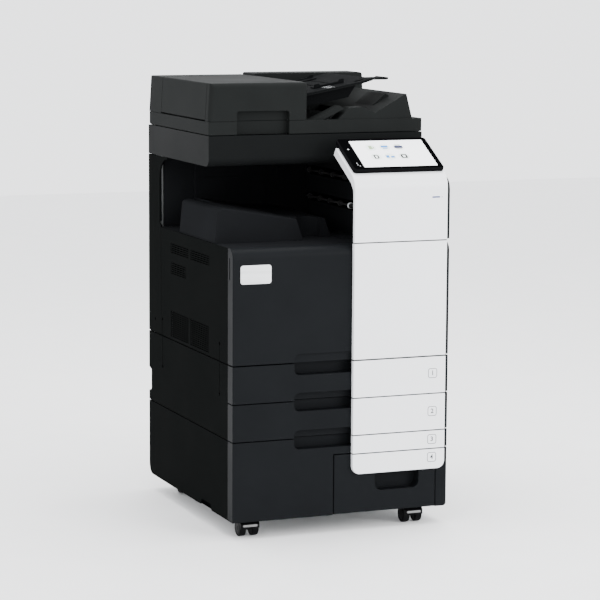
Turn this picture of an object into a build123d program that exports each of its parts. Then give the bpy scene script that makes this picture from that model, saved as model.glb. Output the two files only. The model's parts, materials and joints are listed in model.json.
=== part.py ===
from build123d import *
import os
from math import cos, radians, sin

os.makedirs("parts", exist_ok=True)

# Office photocopier: a printing body on a four-tray base, a flatbed scanner over an open
# output cavity, and a document feeder as the scanner's lid. Millimetres, +Z up, and the
# operator stands on the -Y side. The origin is on the floor, under the middle of the machine.

# ---------------------------------------------------------------- driving dimensions
WIDTH = 615.0              # over the side covers
DEPTH = 690.0              # from the black fronts to the back edge
STRIP_PROUD = 12.0         # the white front strip stands this far out of the black fronts
BASE_CLEARANCE = 47.0      # floor to the lower edge of the covers
SEAM = 3.0                 # visible gap between neighbouring fronts and covers
COVER = 4.0                # thickness of moulded covers
SHEET = 2.0                # thickness of frame sheet
FLANGE = 3.0               # thickness of the fronts' top and bottom flanges
RUN_GAP = 0.3              # gap between parts that move past each other
FIT_GAP = 0.05             # radial clearance of a shaft in its hole

# Seams, as heights above the lower edge of the covers
SEAM_4, SEAM_3, SEAM_2, SEAM_1 = 163.0, 213.0, 313.0, 414.0
DOOR_TOP = 720.0
PANEL_SEAM = 725.0
SCAN_BOTTOM, SCAN_TOP = 918.0, 999.0
FEEDER_BOTTOM, FEEDER_SEAM, FEEDER_TOP = 1000.5, 1036.0, 1137.0

FRONT_DEPTH = 37.0         # depth of the fronts' side returns
STRIP_X = (27.0, 295.0)    # the white strip's left and right edges
SCANNER_FRONT = 186.0      # depth of the scanner's and feeder's front face
PANEL_TILT = 28.5          # slope of the touch panel and its arm, in degrees

HALF = WIDTH / 2
LOW = SEAM / 2
HINGE_DEPTH, HINGE_HEIGHT = -6.0, 421.5     # front door pivot line

# Datum planes: depth is counted from the black fronts, height from the covers' lower edge
FRONT_Y = -(DEPTH - STRIP_PROUD) / 2
PLAN = Plane((0, FRONT_Y, BASE_CLEARANCE))
SIDE = Plane((0, FRONT_Y, BASE_CLEARANCE), x_dir=(0, 1, 0), z_dir=(1, 0, 0))
FACE = Plane((0, FRONT_Y, BASE_CLEARANCE), x_dir=(1, 0, 0), z_dir=(0, -1, 0))


# ---------------------------------------------------------------- drawing helpers
def block(x, y, z, mode=Mode.ADD):
    """Block between two corners: x across, y depth and z height, each as (low, high)."""
    with BuildSketch(PLAN.offset(z[0])) as outline:
        with Locations(((x[0] + x[1]) / 2, (y[0] + y[1]) / 2)):
            Rectangle(x[1] - x[0], y[1] - y[0])
    extrude(outline.sketch, amount=z[1] - z[0], mode=mode)


def corner_outline(plane, corners):
    """Closed outline through corners (a, b), or (a, b, radius) where a corner is rounded."""
    with BuildSketch(plane) as outline:
        with BuildLine():
            Polyline(*[(corner[0], corner[1]) for corner in corners], close=True)
        make_face()
        for corner in corners:
            if len(corner) == 3:
                nearest = outline.vertices().sort_by_distance((corner[0], corner[1]))[0]
                fillet(nearest, radius=corner[2])
    return outline.sketch


def side_shape(corners, x, mode=Mode.ADD):
    """Outline of (depth, height) corners, extruded across from x[0] to x[1]."""
    extrude(corner_outline(SIDE.offset(x[0]), corners), amount=x[1] - x[0], mode=mode)


def face_shape(corners, y, mode=Mode.ADD):
    """Outline of (across, height) corners, extruded back from depth y[0] to y[1]."""
    extrude(corner_outline(FACE.offset(-y[0]), corners), amount=-(y[1] - y[0]), mode=mode)


def rod_y(x, z, radius, y, mode=Mode.ADD):
    """Round bar along the depth, at (x, z), from depth y[0] to y[1]."""
    with BuildSketch(FACE.offset(-y[0])) as disc:
        with Locations((x, z)):
            Circle(radius)
    extrude(disc.sketch, amount=-(y[1] - y[0]), mode=mode)


def rod_x(y, z, radius, x, mode=Mode.ADD):
    """Round bar across the machine, at (depth, height), from x[0] to x[1]."""
    with BuildSketch(SIDE.offset(x[0])) as disc:
        with Locations((y, z)):
            Circle(radius)
    extrude(disc.sketch, amount=x[1] - x[0], mode=mode)


def rod_z(x, y, radius, z, mode=Mode.ADD):
    """Upright round bar at (x, depth), from z[0] to z[1]."""
    with BuildSketch(PLAN.offset(z[0])) as disc:
        with Locations((x, y)):
            Circle(radius)
    extrude(disc.sketch, amount=z[1] - z[0], mode=mode)


def save(name, builder):
    """Label one finished piece and write it as its own file."""
    builder.part.label = name
    export_step(builder.part, f"parts/{name}.step")


def save_group(name, pieces):
    """Write several separate solids of the same make as one node."""
    export_step(Compound(label=name, children=pieces), f"parts/{name}.step")


# ---------------------------------------------------------------- steel frame
FRAME_X = HALF - 7.5
FRAME_FRONT, FRAME_BACK = 45.0, 664.0
REAR_PLATE = 655.0               # front face of the rear frame plate
POST_TOP = 912.0
DECK_RIGHT = 290.0
FLOOR_TOP = 17.0
ENGINE_FLOOR = SEAM_1 + 3.3
DECK_PLATE = 711.0
BIN_X, BIN_BACK = 288.0, 600.0
BIN_FLOORS = {1: 322.0, 2: 222.0, 3: 22.0, 4: 21.6}
BIN_TOPS = {1: 405.0, 2: 305.0, 3: 205.0, 4: 150.0}
SHELF_3 = 168.0                 # floor of tray 3's shallow right part
BIN_4_X = (-10.0, 262.0)
RAIL, RAIL_SPAN, RAIL_INNER = 4.0, (60.0, 640.0), 270.0
RUNNER_WIDTH = 12.0
CASTERS = {
    "front_left": (-249.5, 66.0),
    "front_right": (222.5, 66.0),
    "rear_left": (-224.0, 613.0),
    "rear_right": (222.5, 613.0),
}
SOCKET_HALF, SOCKET_BOTTOM, STEM_RADIUS = 28.0, 10.0, 6.0
HINGE_ARMS_X = ((45.0, 53.0), (270.0, 278.0))
HINGE_EYE, HINGE_PIN = 4.0, 1.5

frame_blocks = [
    ((-FRAME_X, FRAME_X), (FRAME_FRONT, FRAME_BACK), (FLOOR_TOP - SHEET, FLOOR_TOP)),
    ((-FRAME_X, -FRAME_X + SHEET), (FRAME_FRONT, FRAME_BACK), (FLOOR_TOP, DECK_PLATE - SHEET)),
    ((FRAME_X - SHEET, FRAME_X), (FRAME_FRONT, FRAME_BACK), (FLOOR_TOP, ENGINE_FLOOR - SHEET)),
    ((FRAME_X - SHEET, FRAME_X), (564, FRAME_BACK), (ENGINE_FLOOR - SHEET, POST_TOP)),
    ((FRAME_X - SHEET, FRAME_X), (FRAME_FRONT + 5, FRAME_FRONT + 25), (ENGINE_FLOOR - SHEET, DECK_PLATE)),
    ((-FRAME_X + SHEET, FRAME_X - SHEET), (REAR_PLATE, REAR_PLATE + SHEET), (FLOOR_TOP, POST_TOP)),
    ((-FRAME_X + SHEET, FRAME_X - SHEET), (FRAME_FRONT, REAR_PLATE),
     (SEAM_3 - SHEET / 2, SEAM_3 + SHEET / 2)),
    ((-FRAME_X + SHEET, DECK_RIGHT), (FRAME_FRONT, REAR_PLATE), (ENGINE_FLOOR - SHEET, ENGINE_FLOOR)),
    ((-FRAME_X, DECK_RIGHT), (FRAME_FRONT + 5, REAR_PLATE), (DECK_PLATE - SHEET, DECK_PLATE)),
    ((-FRAME_X + SHEET, -212), (BIN_BACK + 12, REAR_PLATE), (DECK_PLATE, 916)),
]
for tray in (1, 2):
    rail_top = BIN_FLOORS[tray] - RUN_GAP
    for side in (-1, 1):
        inner, outer = sorted((side * RAIL_INNER, side * (FRAME_X - SHEET)))
        frame_blocks.append(((inner, outer), RAIL_SPAN, (rail_top - RAIL, rail_top)))
frame_blocks.append(
    ((-FRAME_X + SHEET, -RAIL_INNER), RAIL_SPAN, (FLOOR_TOP, BIN_FLOORS[3] - RUN_GAP))
)
frame_blocks.append(
    ((RAIL_INNER, FRAME_X - SHEET), RAIL_SPAN, (SHELF_3 - RUN_GAP - RAIL, SHELF_3 - RUN_GAP))
)
for low_x in (BIN_4_X[0], BIN_4_X[1] - RUNNER_WIDTH):
    frame_blocks.append(((low_x, low_x + RUNNER_WIDTH), RAIL_SPAN, (FLOOR_TOP, BIN_FLOORS[4] - RUN_GAP)))

frame_pieces = []
for x_span, y_span, z_span in frame_blocks:
    with BuildPart() as frame_plate:
        block(x_span, y_span, z_span)
    frame_pieces.append(frame_plate.part)

for stem_x, stem_y in CASTERS.values():
    with BuildPart() as socket:
        block(
            (stem_x - SOCKET_HALF, stem_x + SOCKET_HALF),
            (stem_y - SOCKET_HALF, stem_y + SOCKET_HALF),
            (SOCKET_BOTTOM, FLOOR_TOP - SHEET),
        )
        rod_z(
            stem_x, stem_y, STEM_RADIUS + FIT_GAP,
            (SOCKET_BOTTOM, FLOOR_TOP - SHEET), mode=Mode.SUBTRACT,
        )
    frame_pieces.append(socket.part)

for arm_x in HINGE_ARMS_X:
    with BuildPart() as hinge_arm:
        block(arm_x, (HINGE_DEPTH, 75), (ENGINE_FLOOR, HINGE_HEIGHT + HINGE_EYE))
        rod_x(HINGE_DEPTH, HINGE_HEIGHT, HINGE_EYE, arm_x)
        rod_x(HINGE_DEPTH, HINGE_HEIGHT, HINGE_PIN + FIT_GAP, arm_x, mode=Mode.SUBTRACT)
    frame_pieces.append(hinge_arm.part)
save_group("main_frame", frame_pieces)

# ---------------------------------------------------------------- left covers
LEFT = (-HALF, -HALF + COVER)
SIDE_FRONT = FRONT_DEPTH + 1.0
UPPER_REAR = 581.0               # the upper left cover ends here; the corner cover follows
DOCK_Y = (100.5, 569.5)          # docking holes for a unit placed at the left side
DOCK_Z = (327.0, 461.0)
DOCK_RADIUS = 5.0
GROOVE_DEPTH, GROOVE_WIDTH = 1.0, 3.0

with BuildPart() as left_base_cover:
    side_shape(
        [(SIDE_FRONT, 0), (164, 0, 4), (172, 16, 6), (242, 16, 6), (250, 0, 4),
         (DEPTH, 0, 30), (DEPTH, SEAM_3 - LOW), (SIDE_FRONT, SEAM_3 - LOW)],
        LEFT,
    )
save("left_base_cover", left_base_cover)


def docking_groove(depth_line, z):
    """Shallow upright groove that joins a lower and an upper docking hole."""
    half = GROOVE_WIDTH / 2
    block((LEFT[0], LEFT[0] + GROOVE_DEPTH), (depth_line - half, depth_line + half), z,
          mode=Mode.SUBTRACT)


with BuildPart() as left_lower_cover:
    side_shape(
        [(SIDE_FRONT, SEAM_3 + LOW), (DEPTH, SEAM_3 + LOW), (DEPTH, 240, 2), (670, 246, 4),
         (670, 303, 4), (DEPTH, 309, 2), (DEPTH, SEAM_1 - LOW), (SIDE_FRONT, SEAM_1 - LOW)],
        LEFT,
    )
    for hole_y in DOCK_Y:
        rod_x(hole_y, DOCK_Z[0], DOCK_RADIUS, LEFT, mode=Mode.SUBTRACT)
        docking_groove(hole_y, (DOCK_Z[0], SEAM_1 - LOW))
save("left_lower_cover", left_lower_cover)

SLOT_HEIGHT = 2.6
VENTS = (
    # centre depth, centre height, slot length, rows, row pitch
    (257.0, 670.0, 150.0, 5, 5.6),
    (424.0, 670.0, 150.0, 5, 5.6),
    (434.5, 614.5, 125.0, 6, 5.6),
    (260.0, 459.0, 150.0, 13, 5.6),
    (424.0, 459.0, 150.0, 13, 5.6),
)
with BuildPart() as left_upper_cover:
    side_shape(
        [(SIDE_FRONT, SEAM_1 + LOW), (UPPER_REAR, SEAM_1 + LOW), (UPPER_REAR, 719, 2),
         (SIDE_FRONT, 719, 2)],
        LEFT,
    )
    for vent_y, vent_z, length, rows, pitch in VENTS:
        with BuildSketch(SIDE.offset(LEFT[0])) as slots:
            with Locations((vent_y, vent_z)):
                with GridLocations(1, pitch, 1, rows):
                    Rectangle(length, SLOT_HEIGHT)
        extrude(slots.sketch, amount=COVER, mode=Mode.SUBTRACT)
    for hole_y in DOCK_Y:
        rod_x(hole_y, DOCK_Z[1], DOCK_RADIUS, LEFT, mode=Mode.SUBTRACT)
        docking_groove(hole_y, (SEAM_1 + LOW, DOCK_Z[1]))
save("left_upper_cover", left_upper_cover)

CAVITY_REAR_EDGE = 594.0
with BuildPart() as left_rear_cover:
    side_shape(
        [(UPPER_REAR + 2, SEAM_1 + LOW), (UPPER_REAR + 2, 723, 3), (CAVITY_REAR_EDGE, 729, 5),
         (CAVITY_REAR_EDGE, 911, 60), (528, 911), (528, 916.5), (DEPTH, 916.5),
         (DEPTH, SEAM_1 + LOW)],
        LEFT,
    )
    rod_x(635, 454, 4, LEFT, mode=Mode.SUBTRACT)
save("left_rear_cover", left_rear_cover)

# ---------------------------------------------------------------- rear cover and its screws
BACK_FACE = DEPTH - 1.5
BACK_X = HALF - COVER - 0.5
RECESS_FRONT = 668.0             # face of the shallow step across the back
INLET_X, INLET_Z = (-264.0, -230.0), (74.0, 102.0)
SCREW_HEAD, SCREW_SHANK = 3.5, 1.5
SCREW_XS = (-290.0, -97.0, 97.0, 290.0)
SCREW_ZS = (20.0, 220.0, 330.0, 620.0, 900.0)

with BuildPart() as rear_cover:
    inside = BACK_FACE - COVER
    side_shape(
        [(inside, 6), (BACK_FACE, 6, 2), (BACK_FACE, 240), (RECESS_FRONT + COVER, 246),
         (RECESS_FRONT + COVER, 303), (BACK_FACE, 309), (BACK_FACE, 916), (inside, 916),
         (inside, 311.5), (RECESS_FRONT, 305.5), (RECESS_FRONT, 243.5), (inside, 237.5)],
        (-BACK_X, BACK_X),
    )
    for vent_x in (-150.0, 150.0):
        with BuildSketch(FACE.offset(-BACK_FACE)) as slots:
            with Locations((vent_x, 790)):
                with GridLocations(1, 9, 1, 12):
                    Rectangle(170, 4)
        extrude(slots.sketch, amount=COVER, mode=Mode.SUBTRACT)
    block(INLET_X, (inside, BACK_FACE), INLET_Z, mode=Mode.SUBTRACT)
    for screw_x in SCREW_XS:
        for screw_z in SCREW_ZS:
            rod_y(screw_x, screw_z, SCREW_SHANK + FIT_GAP, (inside, BACK_FACE), Mode.SUBTRACT)
save("rear_cover", rear_cover)

screw_pieces = []
for screw_x in SCREW_XS:
    for screw_z in SCREW_ZS:
        with BuildPart() as screw:
            rod_y(screw_x, screw_z, SCREW_SHANK, (BACK_FACE - COVER - 2, BACK_FACE))
            rod_y(screw_x, screw_z, SCREW_HEAD, (BACK_FACE, DEPTH))
            fillet(screw.edges().sort_by(Axis.Y)[-1], radius=0.9)
        screw_pieces.append(screw.part)
save_group("cover_screws", screw_pieces)

with BuildPart() as power_inlet:
    block((INLET_X[0] + 1, INLET_X[1] - 1), (664, BACK_FACE), (INLET_Z[0] + 1, INLET_Z[1] - 1))
    face_shape(
        [(INLET_X[0] + 5, 79.5), (INLET_X[1] - 5, 79.5), (INLET_X[1] - 5, 92),
         (INLET_X[1] - 9, 96), (INLET_X[0] + 9, 96), (INLET_X[0] + 5, 92)],
        (670, BACK_FACE), mode=Mode.SUBTRACT,
    )
    for pin_x, pin_z in ((-254.0, 85.0), (-247.0, 90.5), (-240.0, 85.0)):
        block((pin_x - 1, pin_x + 1), (669, 683), (pin_z - 2, pin_z + 2))
save("power_inlet", power_inlet)

# ---------------------------------------------------------------- right covers
RIGHT = (HALF - COVER, HALF)
SIDE_DOOR_Y, SIDE_DOOR_Z = (72.0, 558.0), (417.0, 758.0)
UNIT_4_X = (-21.0, 273.5)
POST_LEFT, POST_FRONT = UNIT_4_X[1] + 2.0, 0.6    # corner post beside tray 4's front

right_pieces = []
with BuildPart() as right_base:
    side_shape(
        [(SIDE_FRONT, 0), (DEPTH, 0, 30), (DEPTH, SEAM_3 - LOW), (SIDE_FRONT, SEAM_3 - LOW)],
        RIGHT,
    )
right_pieces.append(right_base.part)
with BuildPart() as right_middle:
    side_shape(
        [(SIDE_FRONT, SEAM_3 + LOW), (DEPTH, SEAM_3 + LOW), (DEPTH, 240, 2), (670, 246, 4),
         (670, 303, 4), (DEPTH, 309, 2), (DEPTH, SEAM_1 - LOW), (SIDE_FRONT, SEAM_1 - LOW)],
        RIGHT,
    )
right_pieces.append(right_middle.part)
with BuildPart() as right_front_post:
    block(RIGHT, (SIDE_FRONT, SIDE_DOOR_Y[0] - 2), (SEAM_1 + LOW, DOOR_TOP + LOW))
right_pieces.append(right_front_post.part)
with BuildPart() as right_rear_post:
    block(RIGHT, (SIDE_DOOR_Y[1] + 2, DEPTH), (SEAM_1 + LOW, SIDE_DOOR_Z[1] + 2))
right_pieces.append(right_rear_post.part)
with BuildPart() as right_top:
    side_shape(
        [(2, PANEL_SEAM + LOW), (2, 880, 34), (84, 914), (SCANNER_FRONT, 916.5),
         (DEPTH, 916.5), (DEPTH, SIDE_DOOR_Z[1] + 2), (70, SIDE_DOOR_Z[1] + 2),
         (70, PANEL_SEAM + LOW)],
        RIGHT,
    )
    side_shape(
        [(2, PANEL_SEAM + LOW), (2, 880, 34), (62, 904.9), (62, PANEL_SEAM + LOW)],
        (STRIP_X[1] + 1.5, RIGHT[0]),
    )
right_pieces.append(right_top.part)
with BuildPart() as right_corner_post:
    face_shape(
        [(POST_LEFT, 0), (HALF, 0, 9), (HALF, SEAM_4 - LOW), (POST_LEFT, SEAM_4 - LOW)],
        (POST_FRONT, FRONT_DEPTH),
    )
    fillet(right_corner_post.faces().sort_by(Axis.Y)[0].edges(), radius=2)
right_pieces.append(right_corner_post.part)
save_group("right_covers", right_pieces)

# ---------------------------------------------------------------- inside the printing body
CARTRIDGE_XS = [-232.0 + 98.0 * index for index in range(4)]
CARTRIDGE_Z, CARTRIDGE_RADIUS = 664.0, 33.0
WASTE_X, WASTE_Z = (-200.0, 150.0), (432.0, 480.0)
INNER_COVER_Y = (50.0, 54.0)

with BuildPart() as inner_front_cover:
    block((-FRAME_X + SHEET + 1, FRAME_X - SHEET - 1), INNER_COVER_Y, (427, DECK_PLATE - SHEET - 1))
    for cartridge_x in CARTRIDGE_XS:
        rod_y(cartridge_x, CARTRIDGE_Z, CARTRIDGE_RADIUS + 3, INNER_COVER_Y, Mode.SUBTRACT)
    block((WASTE_X[0] - 2, WASTE_X[1] + 2), INNER_COVER_Y, (WASTE_Z[0] - 2, WASTE_Z[1] + 2),
          mode=Mode.SUBTRACT)
save("inner_front_cover", inner_front_cover)

LASER_X, LASER_Y, LASER_Z = (-270.0, 200.0), (84.0, 600.0), (424.0, 484.0)
with BuildPart() as laser_unit:
    block(LASER_X, LASER_Y, LASER_Z)
    fillet(laser_unit.edges().filter_by(Axis.Z), radius=6)
    block((LASER_X[0] + COVER, LASER_X[1] - COVER), (LASER_Y[0] + COVER, LASER_Y[1] - COVER),
          (LASER_Z[0], LASER_Z[1] - COVER), mode=Mode.SUBTRACT)
save("laser_unit", laser_unit)

imaging_pieces = []
for cartridge_x in CARTRIDGE_XS:
    with BuildPart() as imaging_unit:
        face_shape(
            [(cartridge_x - 42, 500, 8), (cartridge_x + 30, 492, 8), (cartridge_x + 42, 552, 10),
             (cartridge_x - 34, 552, 10)],
            (66, 600),
        )
        face_shape(
            [(cartridge_x - 37, 504), (cartridge_x + 27, 498), (cartridge_x + 36, 536),
             (cartridge_x - 31, 536)],
            (70, 600), mode=Mode.SUBTRACT,
        )
        rod_y(cartridge_x, 553, 14, (70, 596))
    imaging_pieces.append(imaging_unit.part)
save_group("imaging_units", imaging_pieces)

BELT_X, BELT_Z, BELT_SPAN = -84.0, 592.0, 330.0
BELT_RADIUS, BELT_THICKNESS = 20.0, 1.0
transfer_pieces = []
with BuildPart() as transfer_belt:
    with BuildSketch(FACE.offset(-66)) as belt_loop:
        with Locations((BELT_X, BELT_Z)):
            SlotCenterToCenter(BELT_SPAN, 2 * BELT_RADIUS)
            SlotCenterToCenter(BELT_SPAN, 2 * (BELT_RADIUS - BELT_THICKNESS), mode=Mode.SUBTRACT)
    extrude(belt_loop.sketch, amount=-534)
transfer_pieces.append(transfer_belt.part)
for roller_x in (BELT_X - BELT_SPAN / 2, BELT_X + BELT_SPAN / 2):
    with BuildPart() as belt_roller:
        rod_y(roller_x, BELT_Z, BELT_RADIUS - BELT_THICKNESS - FIT_GAP, (62, 604))
    transfer_pieces.append(belt_roller.part)
save_group("transfer_unit", transfer_pieces)

cartridge_pieces = []
for cartridge_x in CARTRIDGE_XS:
    with BuildPart() as cartridge:
        rod_y(cartridge_x, CARTRIDGE_Z, CARTRIDGE_RADIUS, (46, 590))
        fillet(cartridge.edges(), radius=4)
        rod_y(cartridge_x, CARTRIDGE_Z, CARTRIDGE_RADIUS - 2, (52, 590), mode=Mode.SUBTRACT)
        block((cartridge_x - 5, cartridge_x + 5), (40, 50),
              (CARTRIDGE_Z - 20, CARTRIDGE_Z + 20))
    cartridge_pieces.append(cartridge.part)
save_group("toner_cartridges", cartridge_pieces)

with BuildPart() as waste_toner_box:
    block(WASTE_X, (44, 80), WASTE_Z)
    fillet(waste_toner_box.edges().filter_by(Axis.Y), radius=6)
save("waste_toner_box", waste_toner_box)

FUSER_X, FUSER_Z, FUSER_RADIUS = (222.0, 286.0), (590.0, 704.0), 8.0
with BuildPart() as fuser_unit:
    face_shape(
        [(fuser_x, fuser_z, FUSER_RADIUS) for fuser_x, fuser_z in (
            (FUSER_X[0], FUSER_Z[0]), (FUSER_X[1], FUSER_Z[0]),
            (FUSER_X[1], FUSER_Z[1]), (FUSER_X[0], FUSER_Z[1]))],
        (76, 600),
    )
save("fuser_unit", fuser_unit)

BOX_HALF, BOX_Y, BOX_Z, BOX_SHEET = 250.0, (660.0, 682.0), (330.0, 700.0), 1.5
with BuildPart() as control_box:
    block((-BOX_HALF, BOX_HALF), BOX_Y, BOX_Z)
    fillet(control_box.edges().filter_by(Axis.Y), radius=4)
    block((BOX_SHEET - BOX_HALF, BOX_HALF - BOX_SHEET), (BOX_Y[0], BOX_Y[1] - BOX_SHEET),
          (BOX_Z[0] + BOX_SHEET, BOX_Z[1] - BOX_SHEET), mode=Mode.SUBTRACT)
save("control_box", control_box)

# ---------------------------------------------------------------- output cavity
DECK_TOP = 719.0
with BuildPart() as top_deck:
    block((-HALF + COVER, DECK_RIGHT), (SIDE_FRONT, CAVITY_REAR_EDGE + 6), (DECK_PLATE, DECK_TOP))
save("top_deck", top_deck)

TRAY_BASE = DECK_TOP + 0.2
TRAY_SPLIT_X, TRAY_SPLIT_Y = -203.0, 437.0
SCOOP_X, SCOOP_Y, SCOOP_RADIUS = -14.0, 212.0, 34.0
with BuildPart() as output_tray:
    face_shape(
        [(-303, TRAY_BASE), (-294, 808, 10), (-276, 811, 8), (-71, 776, 5), (-52, TRAY_BASE)],
        (150, TRAY_SPLIT_Y),
    )
    fillet(output_tray.faces().sort_by(Axis.Y)[0].edges().sort_by(Axis.Z)[1:], radius=2.5)
    face_shape(
        [(TRAY_SPLIT_X, TRAY_BASE), (TRAY_SPLIT_X, 798.5), (-71, 776), (-52, TRAY_BASE)],
        (TRAY_SPLIT_Y, 588),
    )
    face_shape(
        [(-74, TRAY_BASE), (-74, 776), (34, 770, 6), (52, TRAY_BASE)],
        (SCOOP_Y, 588),
    )
    face_shape(
        [(-299, DECK_TOP), (-291, 800), (-276, 806), (-75, 772), (-58, DECK_TOP)],
        (154, TRAY_SPLIT_Y - 4), mode=Mode.SUBTRACT,
    )
    face_shape(
        [(TRAY_SPLIT_X + 4, DECK_TOP), (TRAY_SPLIT_X + 4, 793.5), (-75, 772), (-75, DECK_TOP)],
        (TRAY_SPLIT_Y - 4, 584), mode=Mode.SUBTRACT,
    )
    rod_z(SCOOP_X, SCOOP_Y, SCOOP_RADIUS, (TRAY_BASE, 790), mode=Mode.SUBTRACT)
save("output_tray", output_tray)

with BuildPart() as cavity_rear_wall:
    block((TRAY_SPLIT_X, 130.5), (590, CAVITY_REAR_EDGE), (TRAY_BASE, 916))
    block((-292, TRAY_SPLIT_X), (602, 606), (TRAY_BASE, 916))
    block((TRAY_SPLIT_X, TRAY_SPLIT_X + 4), (590, 606), (TRAY_BASE, 916))
save("cavity_rear_wall", cavity_rear_wall)

EXIT_X = 131.0
EXIT_FRONT_LOW = PANEL_SEAM + LOW     # leaves room for the door's swinging top edge
ROLLER_X = EXIT_X - 7.0
ROLLER_DISC, ROLLER_SHAFT = 7.5, 3.0
ROLLER_SPAN = (112.0, 560.0)
ROLLER_HEIGHTS = {"lower": 797.0, "upper": 871.5}
ROLLER_STARTS = {"lower": (171.0, 73.5, 6), "upper": (200.0, 85.5, 5)}
with BuildPart() as exit_unit:
    side_shape(
        [(2, EXIT_FRONT_LOW), (2, 860, 6), (20, 878), (84, 909), (600, 916), (600, TRAY_BASE),
         (SIDE_FRONT, TRAY_BASE), (SIDE_FRONT, EXIT_FRONT_LOW)],
        (EXIT_X, STRIP_X[1]),
    )
    side_shape(
        [(6, DECK_TOP), (6, 858), (22, 874), (86, 905), (596, 912), (596, DECK_TOP)],
        (EXIT_X + COVER, STRIP_X[1]), mode=Mode.SUBTRACT,
    )
    for roller_z in ROLLER_HEIGHTS.values():
        block((EXIT_X, EXIT_X + COVER), ROLLER_SPAN, (roller_z - 13, roller_z + 13),
              mode=Mode.SUBTRACT)
        for bearing_y in (ROLLER_SPAN[0] - 5, ROLLER_SPAN[1]):
            block((ROLLER_X - 6, EXIT_X), (bearing_y, bearing_y + 5), (roller_z - 6, roller_z + 6))
            rod_y(ROLLER_X, roller_z, ROLLER_SHAFT + FIT_GAP, (bearing_y, bearing_y + 5),
                  mode=Mode.SUBTRACT)
save("exit_unit", exit_unit)

for row, roller_z in ROLLER_HEIGHTS.items():
    first, spacing, count = ROLLER_STARTS[row]
    with BuildPart() as exit_rollers:
        rod_y(ROLLER_X, roller_z, ROLLER_SHAFT, (ROLLER_SPAN[0] - 5, ROLLER_SPAN[1] + 5))
        for index in range(count):
            disc_y = first + spacing * index
            rod_y(ROLLER_X, roller_z, ROLLER_DISC, (disc_y - 5, disc_y + 5))
    save(f"exit_rollers_{row}", exit_rollers)

# ---------------------------------------------------------------- white upper panel with arm
SLOPE = (cos(radians(PANEL_TILT)), sin(radians(PANEL_TILT)))
PANEL_CORNER = (10.7, 905.5)      # lower front corner of the touch panel, in depth and height
ARM_REST = PANEL_CORNER[1] - 0.6  # top of the arm below that corner


def arm_top(depth):
    """Height of the arm's upper surface at a depth."""
    return ARM_REST + (depth - PANEL_CORNER[0]) * SLOPE[1] / SLOPE[0]


with BuildPart() as upper_front_panel:
    side_shape(
        [(0, PANEL_SEAM + LOW), (-STRIP_PROUD, PANEL_SEAM + LOW),
         (-STRIP_PROUD, arm_top(-STRIP_PROUD), 45), (122, arm_top(122), 3), (136, 945.8, 3),
         (59, 904, 30), (16, 880, 14), (0, 862, 8)],
        STRIP_X,
    )
    fillet(upper_front_panel.edges().filter_by(Axis.Z).sort_by(Axis.Y)[:2], radius=2.5)
save("upper_front_panel", upper_front_panel)

# ---------------------------------------------------------------- touch panel
PANEL_X = (33.0, 293.0)
PANEL_LENGTH, PANEL_THICKNESS = 151.0, 12.0
GLASS_BORDER, GLASS_THICKNESS = 2.0, 1.8
PANEL_PLANE = Plane(
    (0, FRONT_Y + PANEL_CORNER[0], BASE_CLEARANCE + PANEL_CORNER[1]),
    x_dir=(1, 0, 0), z_dir=(0, -SLOPE[1], SLOPE[0]),
)


def panel_slab(border, low, high, radius, mode=Mode.ADD):
    """Rounded slab parallel to the touch panel, from low to high above its underside."""
    with BuildSketch(PANEL_PLANE.offset(low)) as outline:
        with Locations(((PANEL_X[0] + PANEL_X[1]) / 2, PANEL_LENGTH / 2)):
            RectangleRounded(
                PANEL_X[1] - PANEL_X[0] - 2 * border, PANEL_LENGTH - 2 * border, radius
            )
    extrude(outline.sketch, amount=high - low, mode=mode)


with BuildPart() as panel_housing:
    panel_slab(0, 0, PANEL_THICKNESS, 9)
    fillet(panel_housing.faces().sort_by(Axis.Z)[0].edges(), radius=2.5)
    panel_slab(GLASS_BORDER, PANEL_THICKNESS - 2, PANEL_THICKNESS, 7, mode=Mode.SUBTRACT)
save("panel_housing", panel_housing)

with BuildPart() as touch_screen:
    panel_slab(GLASS_BORDER + 0.1, PANEL_THICKNESS - 2, PANEL_THICKNESS - 2 + GLASS_THICKNESS, 6.9)
save("touch_screen", touch_screen)

# ---------------------------------------------------------------- front door
GRIP_X = (-135.6, 60.0)          # finger recesses, which run on under the white strip
GRIP_RADIUS = 15.0
DOOR_LOW = SEAM_1 + LOW


def grip_recess(x, z, depth, top_radius, bottom_radius):
    """Finger recess cut into a front, with rounded left corners."""
    corners = [(x[0], z[0]), (x[1], z[0]), (x[1], z[1]), (x[0], z[1])]
    if bottom_radius:
        corners[0] = (x[0], z[0], bottom_radius)
    if top_radius:
        corners[3] = (x[0], z[1], top_radius)
    face_shape(corners, (0, depth), mode=Mode.SUBTRACT)


def recess_backing(x, z, depth):
    """Walls of a finger recess, moulded behind a front."""
    block((x[0] - 3, x[1] + 3), (COVER, depth + 3), z)


with BuildPart() as front_door:
    side_shape(
        [(0, DOOR_LOW, 2), (0, DOOR_TOP, 26), (FRONT_DEPTH, DOOR_TOP), (FRONT_DEPTH, DOOR_LOW)],
        (-HALF, HALF),
    )
    fillet(front_door.edges().filter_by(Axis.Z).sort_by(Axis.Y)[:2], radius=2)
    side_shape(
        [(COVER, DOOR_LOW + FLANGE), (COVER, DOOR_TOP - COVER, 22),
         (FRONT_DEPTH, DOOR_TOP - COVER), (FRONT_DEPTH, DOOR_LOW + FLANGE)],
        (-HALF + COVER, HALF - COVER), mode=Mode.SUBTRACT,
    )
    recess_backing(GRIP_X, (DOOR_LOW, 441), 6)
    grip_recess(GRIP_X, (DOOR_LOW, 438), 6, GRIP_RADIUS, 0)
    for arm_x in HINGE_ARMS_X:
        block((arm_x[0] - 2, arm_x[1] + 2), (0, FRONT_DEPTH), (DOOR_LOW, 432), Mode.SUBTRACT)
    block((-HALF, HALF), (21, 27), (639, 696), mode=Mode.SUBTRACT)
save("front_door", front_door)

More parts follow.
